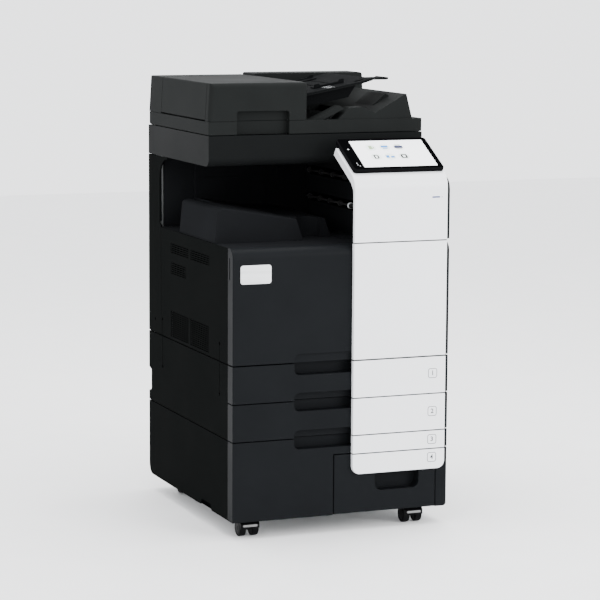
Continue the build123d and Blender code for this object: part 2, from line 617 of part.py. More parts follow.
with BuildPart() as door_white_panel:
    block(STRIP_X, (-STRIP_PROUD, 0), (DOOR_LOW, PANEL_SEAM - LOW))
    fillet(door_white_panel.faces().sort_by(Axis.Y)[0].edges().filter_by(Axis.Z), radius=2.5)
    fillet(door_white_panel.faces().sort_by(Axis.Z)[0].edges().sort_by(Axis.Y)[0], radius=2.5)
    for arm_x in HINGE_ARMS_X:
        pocket_x = (arm_x[0] - 2, arm_x[1] + 2)
        block(pocket_x, (HINGE_DEPTH - HINGE_EYE - RUN_GAP, 0), (DOOR_LOW, 432), Mode.SUBTRACT)
        rod_x(HINGE_DEPTH, HINGE_HEIGHT, HINGE_PIN, pocket_x)
save("door_white_panel", door_white_panel)

# ---------------------------------------------------------------- trays
FRONT_LOWS = {1: SEAM_2 + LOW, 2: SEAM_3 + LOW, 3: 0.0, 4: 1.5}
FRONT_TOPS = {1: SEAM_1 - LOW, 2: SEAM_2 - LOW, 3: SEAM_3 - LOW, 4: SEAM_4 - LOW}
GRIP_LOWS = {1: 382.0, 2: 285.5, 3: 184.0}
GRIP_DEPTH, LIP_DEPTH = 30.0, 20.0
LIP_TOPS = {1: 335.0, 2: 235.0}
UNIT_4_GRIP_X, UNIT_4_GRIP_Z = (97.0, 225.0), (57.5, 118.0)
UNIT_4_GRIP_RADIUS = 19.0
TRAY_3_EDGE = -24.0              # right edge of tray 3's deep left part

for tray in (1, 2, 3):
    low, top = FRONT_LOWS[tray], FRONT_TOPS[tray]
    with BuildPart() as tray_front:
        block((-HALF, HALF), (0, FRONT_DEPTH), (low, top))
        front_edges = tray_front.faces().sort_by(Axis.Y)[0].edges()
        fillet(front_edges.filter_by(Axis.Z), radius=2)
        block((-HALF + COVER, HALF - COVER), (COVER, FRONT_DEPTH), (low + FLANGE, top - FLANGE),
              mode=Mode.SUBTRACT)
        recess_backing(GRIP_X, (GRIP_LOWS[tray] - 3, top), GRIP_DEPTH)
        grip_recess(GRIP_X, (GRIP_LOWS[tray], top), GRIP_DEPTH, 0, GRIP_RADIUS)
        if tray in LIP_TOPS:
            recess_backing(GRIP_X, (low, LIP_TOPS[tray] + 3), LIP_DEPTH)
            grip_recess(GRIP_X, (low, LIP_TOPS[tray]), LIP_DEPTH, GRIP_RADIUS, 0)
        if tray == 3:
            block((TRAY_3_EDGE - COVER, HALF), (COVER, FRONT_DEPTH), (low, SEAM_4 + LOW + FLANGE))
            block((TRAY_3_EDGE, HALF), (0, FRONT_DEPTH), (low, SEAM_4 + LOW),
                  mode=Mode.SUBTRACT)
    save(f"tray_{tray}_front", tray_front)

with BuildPart() as tray_4_front:
    block(UNIT_4_X, (0, FRONT_DEPTH), (FRONT_LOWS[4], FRONT_TOPS[4]))
    fillet(tray_4_front.faces().sort_by(Axis.Y)[0].edges(), radius=1.5)
    block((UNIT_4_X[0] + COVER, UNIT_4_X[1] - COVER), (COVER, FRONT_DEPTH),
          (FRONT_LOWS[4] + FLANGE, FRONT_TOPS[4] - FLANGE), mode=Mode.SUBTRACT)
    recess_backing(UNIT_4_GRIP_X, (UNIT_4_GRIP_Z[0] - 3, UNIT_4_GRIP_Z[1] + 3), GRIP_DEPTH)
    face_shape(
        [(UNIT_4_GRIP_X[0], UNIT_4_GRIP_Z[0], UNIT_4_GRIP_RADIUS),
         (UNIT_4_GRIP_X[1], UNIT_4_GRIP_Z[0], UNIT_4_GRIP_RADIUS),
         (UNIT_4_GRIP_X[1], UNIT_4_GRIP_Z[1]), (UNIT_4_GRIP_X[0], UNIT_4_GRIP_Z[1])],
        (0, GRIP_DEPTH), mode=Mode.SUBTRACT,
    )
save("tray_4_front", tray_4_front)

BIN_WALL = 3.0
for tray in (1, 2, 4):
    bin_x = BIN_4_X if tray == 4 else (-BIN_X, BIN_X)
    floor, top = BIN_FLOORS[tray], BIN_TOPS[tray]
    with BuildPart() as tray_bin:
        block(bin_x, (FRONT_DEPTH, BIN_BACK), (floor, top))
        block((bin_x[0] + BIN_WALL, bin_x[1] - BIN_WALL),
              (FRONT_DEPTH + BIN_WALL, BIN_BACK - BIN_WALL), (floor + BIN_WALL, top),
              mode=Mode.SUBTRACT)
    save(f"tray_{tray}_bin", tray_bin)

DEEP_RIGHT = -35.0
with BuildPart() as tray_3_bin:
    face_shape(
        [(-BIN_X, BIN_FLOORS[3]), (DEEP_RIGHT, BIN_FLOORS[3]), (DEEP_RIGHT, SHELF_3),
         (BIN_X, SHELF_3), (BIN_X, BIN_TOPS[3]), (-BIN_X, BIN_TOPS[3])],
        (FRONT_DEPTH, BIN_BACK),
    )
    face_shape(
        [(-BIN_X + BIN_WALL, BIN_FLOORS[3] + BIN_WALL), (DEEP_RIGHT - BIN_WALL, BIN_FLOORS[3] + BIN_WALL),
         (DEEP_RIGHT - BIN_WALL, SHELF_3 + BIN_WALL), (BIN_X - BIN_WALL, SHELF_3 + BIN_WALL),
         (BIN_X - BIN_WALL, BIN_TOPS[3]), (-BIN_X + BIN_WALL, BIN_TOPS[3])],
        (FRONT_DEPTH + BIN_WALL, BIN_BACK - BIN_WALL), mode=Mode.SUBTRACT,
    )
save("tray_3_bin", tray_3_bin)

STRIP_LOWS = {1: SEAM_2 + LOW, 2: SEAM_3 + LOW, 3: SEAM_4 + LOW, 4: 107.5}
STRIP_END_RADIUS = 21.0
for tray, low in STRIP_LOWS.items():
    top = FRONT_TOPS[tray]
    corners = [(STRIP_X[0], low), (STRIP_X[1], low), (STRIP_X[1], top), (STRIP_X[0], top)]
    if tray == 4:
        corners[0] = (STRIP_X[0], low, STRIP_END_RADIUS)
        corners[1] = (STRIP_X[1], low, STRIP_END_RADIUS)
    with BuildPart() as tray_strip:
        face_shape(corners, (-STRIP_PROUD, 0))
        front_edges = tray_strip.faces().sort_by(Axis.Y)[0].edges()
        if tray == 4:
            fillet(front_edges - front_edges.filter_by(Axis.X).sort_by(Axis.Z)[-1:], radius=2.5)
        else:
            fillet(front_edges.filter_by(Axis.Z), radius=2.5)
    save(f"tray_{tray}_strip", tray_strip)

# ---------------------------------------------------------------- right side door, bypass tray
POCKET_Y, POCKET_Z = (128.0, 472.0), (478.5, 702.0)
with BuildPart() as side_door:
    block((292, HALF), SIDE_DOOR_Y, SIDE_DOOR_Z)
    fillet(side_door.faces().sort_by(Axis.X)[-1].edges().filter_by(Axis.Z), radius=2)
    block((299, HALF), POCKET_Y, POCKET_Z, mode=Mode.SUBTRACT)
    block((299, HALF), (88, 112), (560, 640), mode=Mode.SUBTRACT)
save("side_door", side_door)

with BuildPart() as bypass_tray:
    block((300.5, 307), (POCKET_Y[0] + 2.5, POCKET_Y[1] - 2.5), (481, 700))
    fillet(bypass_tray.faces().sort_by(Axis.X)[-1].edges(), radius=1.5)
    block((300.5, 307), (270, 330), (688, 700), mode=Mode.SUBTRACT)
save("bypass_tray", bypass_tray)

# ---------------------------------------------------------------- scanner
GLASS_X, GLASS_Y = (-225.0, 225.0), (240.0, 560.0)
SLIT_X = (-266.0, -240.0)
LEDGE = 6.0
FEEDER_HINGE = (676.0, FEEDER_BOTTOM + 8.0)
EARS_X = ((202.0, 210.0), (-210.0, -202.0))
RAIL_Y, RAIL_Z, RAIL_RADIUS = 400.0, 942.0, 5.0

with BuildPart() as scanner_case:
    side_shape(
        [(SCANNER_FRONT, SCAN_BOTTOM, 22), (SCANNER_FRONT, SCAN_TOP, 2), (DEPTH, SCAN_TOP, 2),
         (DEPTH, SCAN_BOTTOM)],
        (-HALF, HALF),
    )
    side_shape(
        [(SCANNER_FRONT + COVER, SCAN_BOTTOM + COVER, 18), (SCANNER_FRONT + COVER, SCAN_TOP - 7),
         (DEPTH - COVER, SCAN_TOP - 7), (DEPTH - COVER, SCAN_BOTTOM + COVER)],
        (-HALF + COVER, HALF - COVER), mode=Mode.SUBTRACT,
    )
    for window_x in (GLASS_X, SLIT_X):
        block(window_x, GLASS_Y, (SCAN_TOP - COVER, SCAN_TOP), mode=Mode.SUBTRACT)
        block((window_x[0] + LEDGE, window_x[1] - LEDGE), (GLASS_Y[0] + LEDGE, GLASS_Y[1] - LEDGE),
              (SCAN_TOP - 7, SCAN_TOP), mode=Mode.SUBTRACT)
    rod_x(RAIL_Y, RAIL_Z, RAIL_RADIUS, (-HALF + COVER, HALF - COVER))
    for ear_x in EARS_X:
        side_shape(
            [(FEEDER_HINGE[0] - 8, SCAN_TOP), (FEEDER_HINGE[0] + 8, SCAN_TOP),
             (FEEDER_HINGE[0] + 8, 1018, 7), (FEEDER_HINGE[0] - 8, 1018, 7)],
            ear_x,
        )
        rod_x(FEEDER_HINGE[0], FEEDER_HINGE[1], 3 + FIT_GAP, ear_x, mode=Mode.SUBTRACT)
save("scanner_case", scanner_case)

glass_pieces = []
for window_x in (GLASS_X, SLIT_X):
    with BuildPart() as glass:
        block((window_x[0] + 0.1, window_x[1] - 0.1), (GLASS_Y[0] + 0.1, GLASS_Y[1] - 0.1),
              (SCAN_TOP - COVER, SCAN_TOP))
    glass_pieces.append(glass.part)
save_group("platen_glass", glass_pieces)

with BuildPart() as scan_carriage:
    block((-286, -236), (225, 585), (954, 986))
    block((-286, -236), (RAIL_Y - 14, RAIL_Y + 14), (930, 954))
    rod_x(RAIL_Y, RAIL_Z, RAIL_RADIUS + FIT_GAP, (-286, -236), mode=Mode.SUBTRACT)
    block((-264, -258), (232, 578), (978, 986), mode=Mode.SUBTRACT)
save("scan_carriage", scan_carriage)

# ---------------------------------------------------------------- document feeder
FEED_X = (-307.0, -27.0)
SCOOP_GRIP_X, SCOOP_GRIP_TOP = (-228.5, -79.6), 1063.0
SCOOP_GRIP_DEPTH = 20.0
FEEDER_BACK = 684.0
PAD_X, PAD_Y = (-222.0, 222.0), (243.0, 557.0)
RAMP_FOOT = (171.0, 1052.0)       # where the sheet stop rises from the exit's hump
RAMP_FRONT, EXIT_BACK = 190.0, 588.0
REAR_WALL_TOP = 1143.0

with BuildPart() as feeder_base:
    side_shape(
        [(SCANNER_FRONT, FEEDER_BOTTOM, 2), (SCANNER_FRONT, FEEDER_SEAM), (FEEDER_BACK, FEEDER_SEAM),
         (FEEDER_BACK, FEEDER_BOTTOM, 7.9)],
        (FEED_X[0], -FEED_X[0]),
    )
    fillet(feeder_base.edges().filter_by(Axis.Z).sort_by(Axis.Y)[:2], radius=3)
    face_shape(
        [(62, FEEDER_SEAM), (96, 1067, 12), (136, 1069, 14), (RAMP_FOOT[0], RAMP_FOOT[1]),
         (RAMP_FOOT[0], FEEDER_SEAM)],
        (RAMP_FRONT, 240),
    )
    face_shape(
        [(RAMP_FOOT[0], FEEDER_SEAM), RAMP_FOOT, (262, 1103, 1.5), (279.5, FEEDER_SEAM)],
        (RAMP_FRONT, EXIT_BACK),
    )
    face_shape([(184, 1056), (236, 1099), (246, 1094), (246, 1056)], (272, 392))
    face_shape([(-10, FEEDER_SEAM), (70, 1073), (82, 1064), (22, FEEDER_SEAM)], (196, 234))
    block((SCOOP_GRIP_X[0], SCOOP_GRIP_X[1]), (SCANNER_FRONT, SCANNER_FRONT + SCOOP_GRIP_DEPTH),
          (FEEDER_BOTTOM, FEEDER_SEAM), mode=Mode.SUBTRACT)
    block((PAD_X[0] - 0.5, PAD_X[1] + 0.5), (PAD_Y[0] - 0.5, PAD_Y[1] + 0.5),
          (FEEDER_BOTTOM, 1006), mode=Mode.SUBTRACT)
    block((-296, -34), (220, 640), (1010, FEEDER_SEAM), mode=Mode.SUBTRACT)
    for ear_x in EARS_X:
        block((ear_x[0] - 0.6, ear_x[1] + 0.6), (655, FEEDER_BACK), (FEEDER_BOTTOM, 1030),
              mode=Mode.SUBTRACT)
        rod_x(FEEDER_HINGE[0], FEEDER_HINGE[1], 3, (ear_x[0] - 0.6, ear_x[1] + 0.6))
save("feeder_base", feeder_base)

with BuildPart() as platen_pad:
    block(PAD_X, PAD_Y, (SCAN_TOP + 0.5, 1006))
save("platen_pad", platen_pad)

CHEEK_OUTLINE = [(FEED_X[0], FEEDER_SEAM + 1), (-301, FEEDER_TOP, 4), (FEED_X[1], FEEDER_TOP, 6),
                 (FEED_X[1], FEEDER_SEAM + 1)]
with BuildPart() as feed_unit:
    face_shape(CHEEK_OUTLINE, (SCANNER_FRONT, 215))
    fillet(feed_unit.faces().sort_by(Axis.Y)[0].edges().sort_by(Axis.Z)[-1], radius=12)
    face_shape(CHEEK_OUTLINE, (581, FEEDER_BACK))
    block((-298, -30), (215, 581), (FEEDER_SEAM + 1, 1084))
    face_shape(
        [(FEED_X[1], FEEDER_SEAM + 1), (FEED_X[1], REAR_WALL_TOP, 5), (302, REAR_WALL_TOP, 8),
         (-FEED_X[0], FEEDER_SEAM + 1)],
        (EXIT_BACK + 2, FEEDER_BACK),
    )
    block((FEED_X[1] + 5, 297), (EXIT_BACK + 6, FEEDER_BACK - 4),
          (FEEDER_SEAM + 1, REAR_WALL_TOP - 4), mode=Mode.SUBTRACT)
    block((-294, -34), (219, 577), (FEEDER_SEAM + 1, 1080), mode=Mode.SUBTRACT)
    block((-294, -34), (585, FEEDER_BACK - 4), (FEEDER_SEAM + 1, FEEDER_TOP - 4), Mode.SUBTRACT)
    face_shape(
        [(SCOOP_GRIP_X[0], FEEDER_SEAM), (SCOOP_GRIP_X[0], SCOOP_GRIP_TOP, 8),
         (SCOOP_GRIP_X[1], SCOOP_GRIP_TOP, 8), (SCOOP_GRIP_X[1], FEEDER_SEAM)],
        (SCANNER_FRONT, SCANNER_FRONT + SCOOP_GRIP_DEPTH), mode=Mode.SUBTRACT,
    )
save("feed_unit", feed_unit)

with BuildPart() as feed_cover:
    face_shape(
        [(-306.8, 1040.5), (-301, FEEDER_TOP, 5), (-30, FEEDER_TOP), (-30, FEEDER_TOP - COVER),
         (-297, FEEDER_TOP - COVER, 2), (-302.6, 1040.5)],
        (217, 579),
    )
save("feed_cover", feed_cover)

DOC_LEFT, DOC_RIGHT = (-24.0, 1099.0), (194.0, 1141.0)
DOC_Y = (240.0, 584.0)
DOC_CORNER = (44.0, 24.0)         # the tray's front right corner is cut back by this much
UNDERSIDE = [(-8, 1099), (148, 1129), (122, 1091, 6), (34, 1074, 6), (-8, 1071)]
UNDERSIDE_HOLLOW = [(-5.5, 1097), (144, 1126), (120, 1094), (34, 1077), (-5.5, 1074)]
with BuildPart() as document_tray:
    face_shape(
        [(DOC_LEFT[0], DOC_LEFT[1] - 5), (DOC_LEFT[0], DOC_LEFT[1] + 2.5, 2),
         (DOC_RIGHT[0], DOC_RIGHT[1] + 1.5, 1), (DOC_RIGHT[0], DOC_RIGHT[1] - 5)],
        DOC_Y,
    )
    with BuildSketch(PLAN.offset(DOC_RIGHT[1] - 60)) as cut_corner:
        with BuildLine():
            Polyline(
                (DOC_RIGHT[0] - DOC_CORNER[0], DOC_Y[0] - 1), (DOC_RIGHT[0] + 1, DOC_Y[0] - 1),
                (DOC_RIGHT[0] + 1, DOC_Y[0] + DOC_CORNER[1]), close=True,
            )
        make_face()
    extrude(cut_corner.sketch, amount=80, mode=Mode.SUBTRACT)
    face_shape(UNDERSIDE, (264, 560))
    face_shape(UNDERSIDE_HOLLOW, (267, 560), mode=Mode.SUBTRACT)
    face_shape(
        [(186, 1136), (186, 1139), (247, 1140), (250, 1142.5), (252, 1142.5), (252, 1137),
         (246, 1136)],
        (290, 372),
    )
save("document_tray", document_tray)

DOC_SLOPE = (DOC_RIGHT[1] - 1 - DOC_LEFT[1]) / (DOC_RIGHT[0] - DOC_LEFT[0])


def tray_surface(x):
    """Height of the document tray's upper surface."""
    return DOC_LEFT[1] + 2.5 + (x - DOC_LEFT[0]) * DOC_SLOPE


GUIDE_X = (38.0, 124.0)
FENCE_LOW, FENCE_HIGH = 6.0, 11.5
for name, guide_y, fence_y in (("front", (300, 330), (300, 304)), ("rear", (496, 526), (522, 526))):
    with BuildPart() as guide:
        face_shape(
            [(GUIDE_X[0], tray_surface(GUIDE_X[0]) + RUN_GAP),
             (GUIDE_X[1], tray_surface(GUIDE_X[1]) + RUN_GAP),
             (GUIDE_X[1], tray_surface(GUIDE_X[1]) + 3), (GUIDE_X[0], tray_surface(GUIDE_X[0]) + 3)],
            guide_y,
        )
        face_shape(
            [(GUIDE_X[0], tray_surface(GUIDE_X[0]) + 2),
             (GUIDE_X[1], tray_surface(GUIDE_X[1]) + 2),
             (GUIDE_X[1], tray_surface(GUIDE_X[1]) + FENCE_HIGH, 3),
             (GUIDE_X[1] - 12, tray_surface(GUIDE_X[1] - 12) + FENCE_HIGH, 3),
             (GUIDE_X[1] - 18, tray_surface(GUIDE_X[1] - 18) + FENCE_LOW),
             (GUIDE_X[0] + 18, tray_surface(GUIDE_X[0] + 18) + FENCE_LOW),
             (GUIDE_X[0] + 12, tray_surface(GUIDE_X[0] + 12) + FENCE_HIGH, 3),
             (GUIDE_X[0], tray_surface(GUIDE_X[0]) + FENCE_HIGH, 3)],
            fence_y,
        )
    save(f"guide_{name}", guide)

# ---------------------------------------------------------------- casters
WHEEL_RADIUS, WHEEL_WIDTH, AXLE_RADIUS = 22.5, 17.5, 4.0
TRAIL = 16.0
WHEEL_Z = -BASE_CLEARANCE + WHEEL_RADIUS
WEB_HALF = 8.0
WHEEL_START = WEB_HALF + 1.0
HOOD_FRONT = 26.0                # the hood reaches this far ahead of the axle
HOOD_TOP = -2.5                  # clear of the fronts above as the caster turns
for corner, (stem_x, stem_y) in CASTERS.items():
    axle_y = stem_y - TRAIL
    outer = WHEEL_START + WHEEL_WIDTH
    with BuildPart() as caster_fork:
        rod_z(stem_x, stem_y, 14, (-8, SOCKET_BOTTOM - RUN_GAP))
        rod_z(stem_x, stem_y, STEM_RADIUS, (SOCKET_BOTTOM - RUN_GAP, FLOOR_TOP - SHEET - RUN_GAP))
        side_shape(
            [(axle_y - 7, WHEEL_Z - 7, 5), (axle_y - 7, -4, 3), (stem_y + 12, -4, 3),
             (stem_y + 10, WHEEL_Z + 8, 4), (axle_y + 8, WHEEL_Z - 7, 5)],
            (stem_x - WEB_HALF, stem_x + WEB_HALF),
        )
        side_shape(
            [(axle_y - HOOD_FRONT, WHEEL_Z + 1, 2), (axle_y - HOOD_FRONT, -11, 5),
             (axle_y - 17, HOOD_TOP, 3), (axle_y - 4, HOOD_TOP), (axle_y - 4, WHEEL_Z + 1)],
            (stem_x - outer, stem_x + outer),
        )
        rod_x(axle_y, WHEEL_Z, AXLE_RADIUS + FIT_GAP, (stem_x - WEB_HALF, stem_x + WEB_HALF),
              mode=Mode.SUBTRACT)
        for side in (-1, 1):
            near, far = sorted((side * WEB_HALF, side * outer))
            rod_x(axle_y, WHEEL_Z, WHEEL_RADIUS + 0.6, (stem_x + near, stem_x + far),
                  mode=Mode.SUBTRACT)
    save(f"caster_fork_{corner}", caster_fork)
    with BuildPart() as caster_wheel:
        rod_x(axle_y, WHEEL_Z, AXLE_RADIUS, (stem_x - outer, stem_x + outer))
        for side in (-1, 1):
            near, far = sorted((side * WHEEL_START, side * outer))
            rod_x(axle_y, WHEEL_Z, WHEEL_RADIUS, (stem_x + near, stem_x + far))
        fillet(caster_wheel.edges().filter_by(GeomType.CIRCLE).group_by(SortBy.RADIUS)[-1], radius=2.5)
    save(f"caster_wheel_{corner}", caster_wheel)
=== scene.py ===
import json
from math import cos, pi, radians, sin

import bmesh
import bpy
from mathutils import Matrix, Vector


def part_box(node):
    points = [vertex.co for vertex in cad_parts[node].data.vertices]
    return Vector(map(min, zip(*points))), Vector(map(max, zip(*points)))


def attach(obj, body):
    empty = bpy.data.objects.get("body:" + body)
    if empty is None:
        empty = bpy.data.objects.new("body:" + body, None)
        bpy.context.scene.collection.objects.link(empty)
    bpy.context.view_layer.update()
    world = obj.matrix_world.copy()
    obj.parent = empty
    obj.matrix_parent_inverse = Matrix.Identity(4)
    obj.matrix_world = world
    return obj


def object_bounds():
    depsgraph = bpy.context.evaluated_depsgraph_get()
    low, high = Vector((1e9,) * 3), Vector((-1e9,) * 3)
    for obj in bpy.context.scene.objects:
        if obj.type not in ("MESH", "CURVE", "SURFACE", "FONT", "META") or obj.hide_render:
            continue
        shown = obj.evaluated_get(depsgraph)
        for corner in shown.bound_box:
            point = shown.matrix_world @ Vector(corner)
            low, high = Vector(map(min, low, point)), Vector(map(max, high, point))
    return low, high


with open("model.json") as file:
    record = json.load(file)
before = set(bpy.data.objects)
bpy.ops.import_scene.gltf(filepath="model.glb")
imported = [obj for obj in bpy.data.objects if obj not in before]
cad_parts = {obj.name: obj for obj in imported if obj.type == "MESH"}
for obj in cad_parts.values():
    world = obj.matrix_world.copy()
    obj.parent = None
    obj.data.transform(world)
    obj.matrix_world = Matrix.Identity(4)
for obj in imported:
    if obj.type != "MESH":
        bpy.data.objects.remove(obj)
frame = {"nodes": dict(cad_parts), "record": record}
cad_low, cad_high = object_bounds()
nodes = frame["nodes"]

MM = 0.001
EDGE = 0.5                    # usual bevel of a small moulded edge, in millimetres
SHARP_ANGLE = radians(32)     # edges that turn more than this are sharp, and bevelled
EDGE_HIGHLIGHT_GAIN, EDGE_HIGHLIGHT_LIFT = 1.6, 0.005        # painted highlight: how much lighter the colour is on sharp edges


# ---------------------------------------------------------------- materials
def new_material(name):
    """Empty node material; gives the material, its node maker and its link maker."""
    material = bpy.data.materials.new(name)
    material.use_nodes = True
    tree = material.node_tree
    tree.nodes.clear()
    return material, tree.nodes.new, tree.links.new


def grain_coordinates(node, link, stretch=(1, 1, 1)):
    """Object coordinates in metres, stretched along the axes."""
    place = node("ShaderNodeTexCoord")
    mapping = node("ShaderNodeMapping")
    mapping.inputs["Scale"].default_value = stretch
    link(place.outputs["Object"], mapping.inputs["Vector"])
    return mapping.outputs["Vector"]


def noise(node, link, vector, scale, detail):
    """Noise value with scale features to the metre."""
    texture = node("ShaderNodeTexNoise")
    texture.inputs["Scale"].default_value = scale
    texture.inputs["Detail"].default_value = detail
    link(vector, texture.inputs["Vector"])
    return texture.outputs["Fac"]


def spread(node, link, value, low, high, source=(0.3, 0.7)):
    """Noise mapped to the range low..high."""
    remap = node("ShaderNodeMapRange")
    remap.inputs["From Min"].default_value = source[0]
    remap.inputs["From Max"].default_value = source[1]
    remap.inputs["To Min"].default_value = low
    remap.inputs["To Max"].default_value = high
    link(value, remap.inputs["Value"])
    return remap.outputs["Result"]


def tint(node, link, factor, first, second):
    """Mix of two colours."""
    mix = node("ShaderNodeMix")
    mix.data_type = "RGBA"
    mix.inputs["A"].default_value = (*first, 1)
    mix.inputs["B"].default_value = (*second, 1)
    link(factor, mix.inputs["Factor"])
    return mix.outputs["Result"]


def surface(
    name, colour, roughness, grain=1400.0, depth=0.12, edge=0.8, edge_highlight=0.35, metal=0.0,
    stretch=(1, 1, 1), clarity=0.0, coat=0.0, glow=0.0, cloudy=0.1, specular=0.5,
):
    """Procedural finish: fine grain in the bump, soft clouds in colour and roughness, and
    rounded edges that carry a painted highlight, a lighter colour along them. The edge radius is in
    millimetres."""
    material, node, link = new_material(name)
    vector = grain_coordinates(node, link, stretch)
    shader = node("ShaderNodeBsdfPrincipled")
    output = node("ShaderNodeOutputMaterial")
    link(shader.outputs["BSDF"], output.inputs["Surface"])
    shader.inputs["Metallic"].default_value = metal
    shader.inputs["Coat Weight"].default_value = coat
    shader.inputs["Transmission Weight"].default_value = clarity
    shader.inputs["Specular IOR Level"].default_value = specular

    clouds = noise(node, link, vector, 7.0, 4.0)
    dark = tuple(c * (1 - cloudy) for c in colour)
    light = tuple(min(1.0, c * (1 + cloudy)) for c in colour)
    body = tint(node, link, spread(node, link, clouds, 0.0, 1.0), dark, light)

    rounding = node("ShaderNodeBevel")
    rounding.samples = 4
    rounding.inputs["Radius"].default_value = edge * MM
    flat = node("ShaderNodeNewGeometry")
    turn = node("ShaderNodeVectorMath")
    turn.operation = "DOT_PRODUCT"
    link(rounding.outputs["Normal"], turn.inputs[0])
    link(flat.outputs["Normal"], turn.inputs[1])
    # Painted highlight: a lighter colour along the rounded sharp edges.
    rim = spread(node, link, turn.outputs["Value"], edge_highlight, 0.0, (0.80, 0.995))
    highlight_mix = node("ShaderNodeMix")
    highlight_mix.data_type = "RGBA"
    lighter = [min(1.0, c * EDGE_HIGHLIGHT_GAIN + EDGE_HIGHLIGHT_LIFT) for c in colour]
    highlight_mix.inputs["B"].default_value = (*lighter, 1)
    link(rim, highlight_mix.inputs["Factor"])
    link(body, highlight_mix.inputs["A"])
    link(highlight_mix.outputs["Result"], shader.inputs["Base Color"])
    if glow:
        link(body, shader.inputs["Emission Color"])
        shader.inputs["Emission Strength"].default_value = glow

    fine = noise(node, link, vector, grain, 2.0)
    link(
        spread(node, link, clouds, roughness * 0.92, min(1.0, roughness * 1.08)),
        shader.inputs["Roughness"],
    )
    bump = node("ShaderNodeBump")
    bump.inputs["Strength"].default_value = depth
    bump.inputs["Distance"].default_value = 0.2 * MM
    link(fine, bump.inputs["Height"])
    link(rounding.outputs["Normal"], bump.inputs["Normal"])
    link(bump.outputs["Normal"], shader.inputs["Normal"])
    return material


LOOKS = {
    "charcoal_plastic": surface("charcoal_plastic", (0.0050, 0.0056, 0.0064), 0.50, specular=0.035),
    # cover_plastic is the same black plastic as charcoal_plastic, made darker for the side covers:
    # painted shade of the sides.
    "cover_plastic": surface("cover_plastic", (0.0028, 0.0032, 0.0031), 0.72, specular=0.004),
    "cavity_plastic": surface("cavity_plastic", (0.0074, 0.0078, 0.0086), 0.72, specular=0.002),
    "scanner_plastic": surface("scanner_plastic", (0.0050, 0.0055, 0.0056), 0.52, specular=0.018),
    "feeder_plastic": surface("feeder_plastic", (0.0092, 0.0100, 0.0098), 0.58, specular=0.012),
    "white_plastic": surface(
        "white_plastic", (0.80, 0.81, 0.83), 0.34, depth=0.05, edge_highlight=0.0, cloudy=0.012
    ),
    "frame_steel": surface(
        "frame_steel", (0.30, 0.31, 0.31), 0.42, grain=60.0, depth=0.04, metal=0.7, cloudy=0.25
    ),
    "bin_plastic": surface("bin_plastic", (0.030, 0.031, 0.033), 0.48, specular=0.2),
    "unit_plastic": surface("unit_plastic", (0.022, 0.022, 0.025), 0.42, specular=0.2),
    "belt_plastic": surface("belt_plastic", (0.01, 0.01, 0.01), 0.18, depth=0.03, specular=0.3),
    "screw_steel": surface("screw_steel", (0.20, 0.20, 0.20), 0.38, grain=500.0, metal=1.0),
    "inlet_plastic": surface("inlet_plastic", (0.004, 0.004, 0.004), 0.42, specular=0.15),
    "clear_glass": surface(
        "clear_glass", (0.86, 0.93, 0.90), 0.04, depth=0.0, clarity=0.9, edge_highlight=0.0
    ),
    "screen_glass": surface(
        "screen_glass", (0.0012, 0.0012, 0.0014), 0.30, depth=0.01, edge_highlight=0.0, specular=0.0
    ),
    "bezel_plastic": surface(
        "bezel_plastic", (0.0030, 0.0030, 0.0034), 0.45, depth=0.05, specular=0.01
    ),
    "pad_foam": surface("pad_foam", (0.78, 0.78, 0.76), 0.62, grain=900.0, depth=0.3),
    "carriage_plastic": surface("carriage_plastic", (0.008, 0.008, 0.008), 0.5, specular=0.15),
    "roller_rubber": surface(
        "roller_rubber", (0.018, 0.018, 0.018), 0.6, grain=2500.0, specular=0.1
    ),
    "caster_plastic": surface("caster_plastic", (0.0024, 0.0024, 0.0027), 0.42, specular=0.05),
    "caster_tread": surface("caster_tread", (0.0030, 0.0030, 0.0033), 0.55, specular=0.04),
}
for part in frame["record"]["subparts"]:
    nodes[part["node"]].material_slots[0].material = LOOKS[part["material_slot"]]

# Looks that differ from the slot's: the side door, and the tray that the feeder shades.
nodes["side_door"].material_slots[0].material = LOOKS["charcoal_plastic"]
SHADED_TRAY = surface("shaded_tray", (0.0044, 0.0047, 0.0050), 0.75, specular=0.004)
for shaded in ("document_tray", "guide_front", "guide_rear"):
    nodes[shaded].material_slots[0].material = SHADED_TRAY

# Pale prints; on the exit rollers' sleeves the same pale colour is a painted highlight.
PALE_PRINT_AND_HIGHLIGHT = surface("pale_print_and_highlight", (0.62, 0.63, 0.64), 0.5, depth=0.02, edge_highlight=0.0)
GREY_PRINT = surface(
    "grey_print", (0.045, 0.048, 0.055), 0.6, depth=0.02, edge_highlight=0.0, specular=0.0
)
BADGE_FACE = surface("badge_face", (0.70, 0.71, 0.72), 0.32, stretch=(1, 1, 14), depth=0.2)
DISPLAY = surface(
    "display_face", (0.86, 0.87, 0.89), 0.12, depth=0.0, edge_highlight=0.0, cloudy=0.01, glow=0.45
)
ICON_NAVY = surface("icon_navy", (0.004, 0.006, 0.05), 0.5, depth=0.0, edge_highlight=0.0, specular=0.0)
ICON_BLUE = surface("icon_blue", (0.06, 0.22, 0.55), 0.5, depth=0.0, edge_highlight=0.0, specular=0.0)
ICON_PALE = surface("icon_pale", (0.70, 0.75, 0.73), 0.2, depth=0.0, edge_highlight=0.0, glow=0.4)
ICON_GREEN = surface("icon_green", (0.30, 0.40, 0.24), 0.5, depth=0.0, edge_highlight=0.0, specular=0.0)
ICON_BLACK = surface("icon_black", (0.002, 0.002, 0.002), 0.5, depth=0.0, edge_highlight=0.0, specular=0.0)
LAMP_BLUE = surface("lamp_blue", (0.01, 0.03, 0.16), 0.5, depth=0.0, edge_highlight=0.0, specular=0.0)
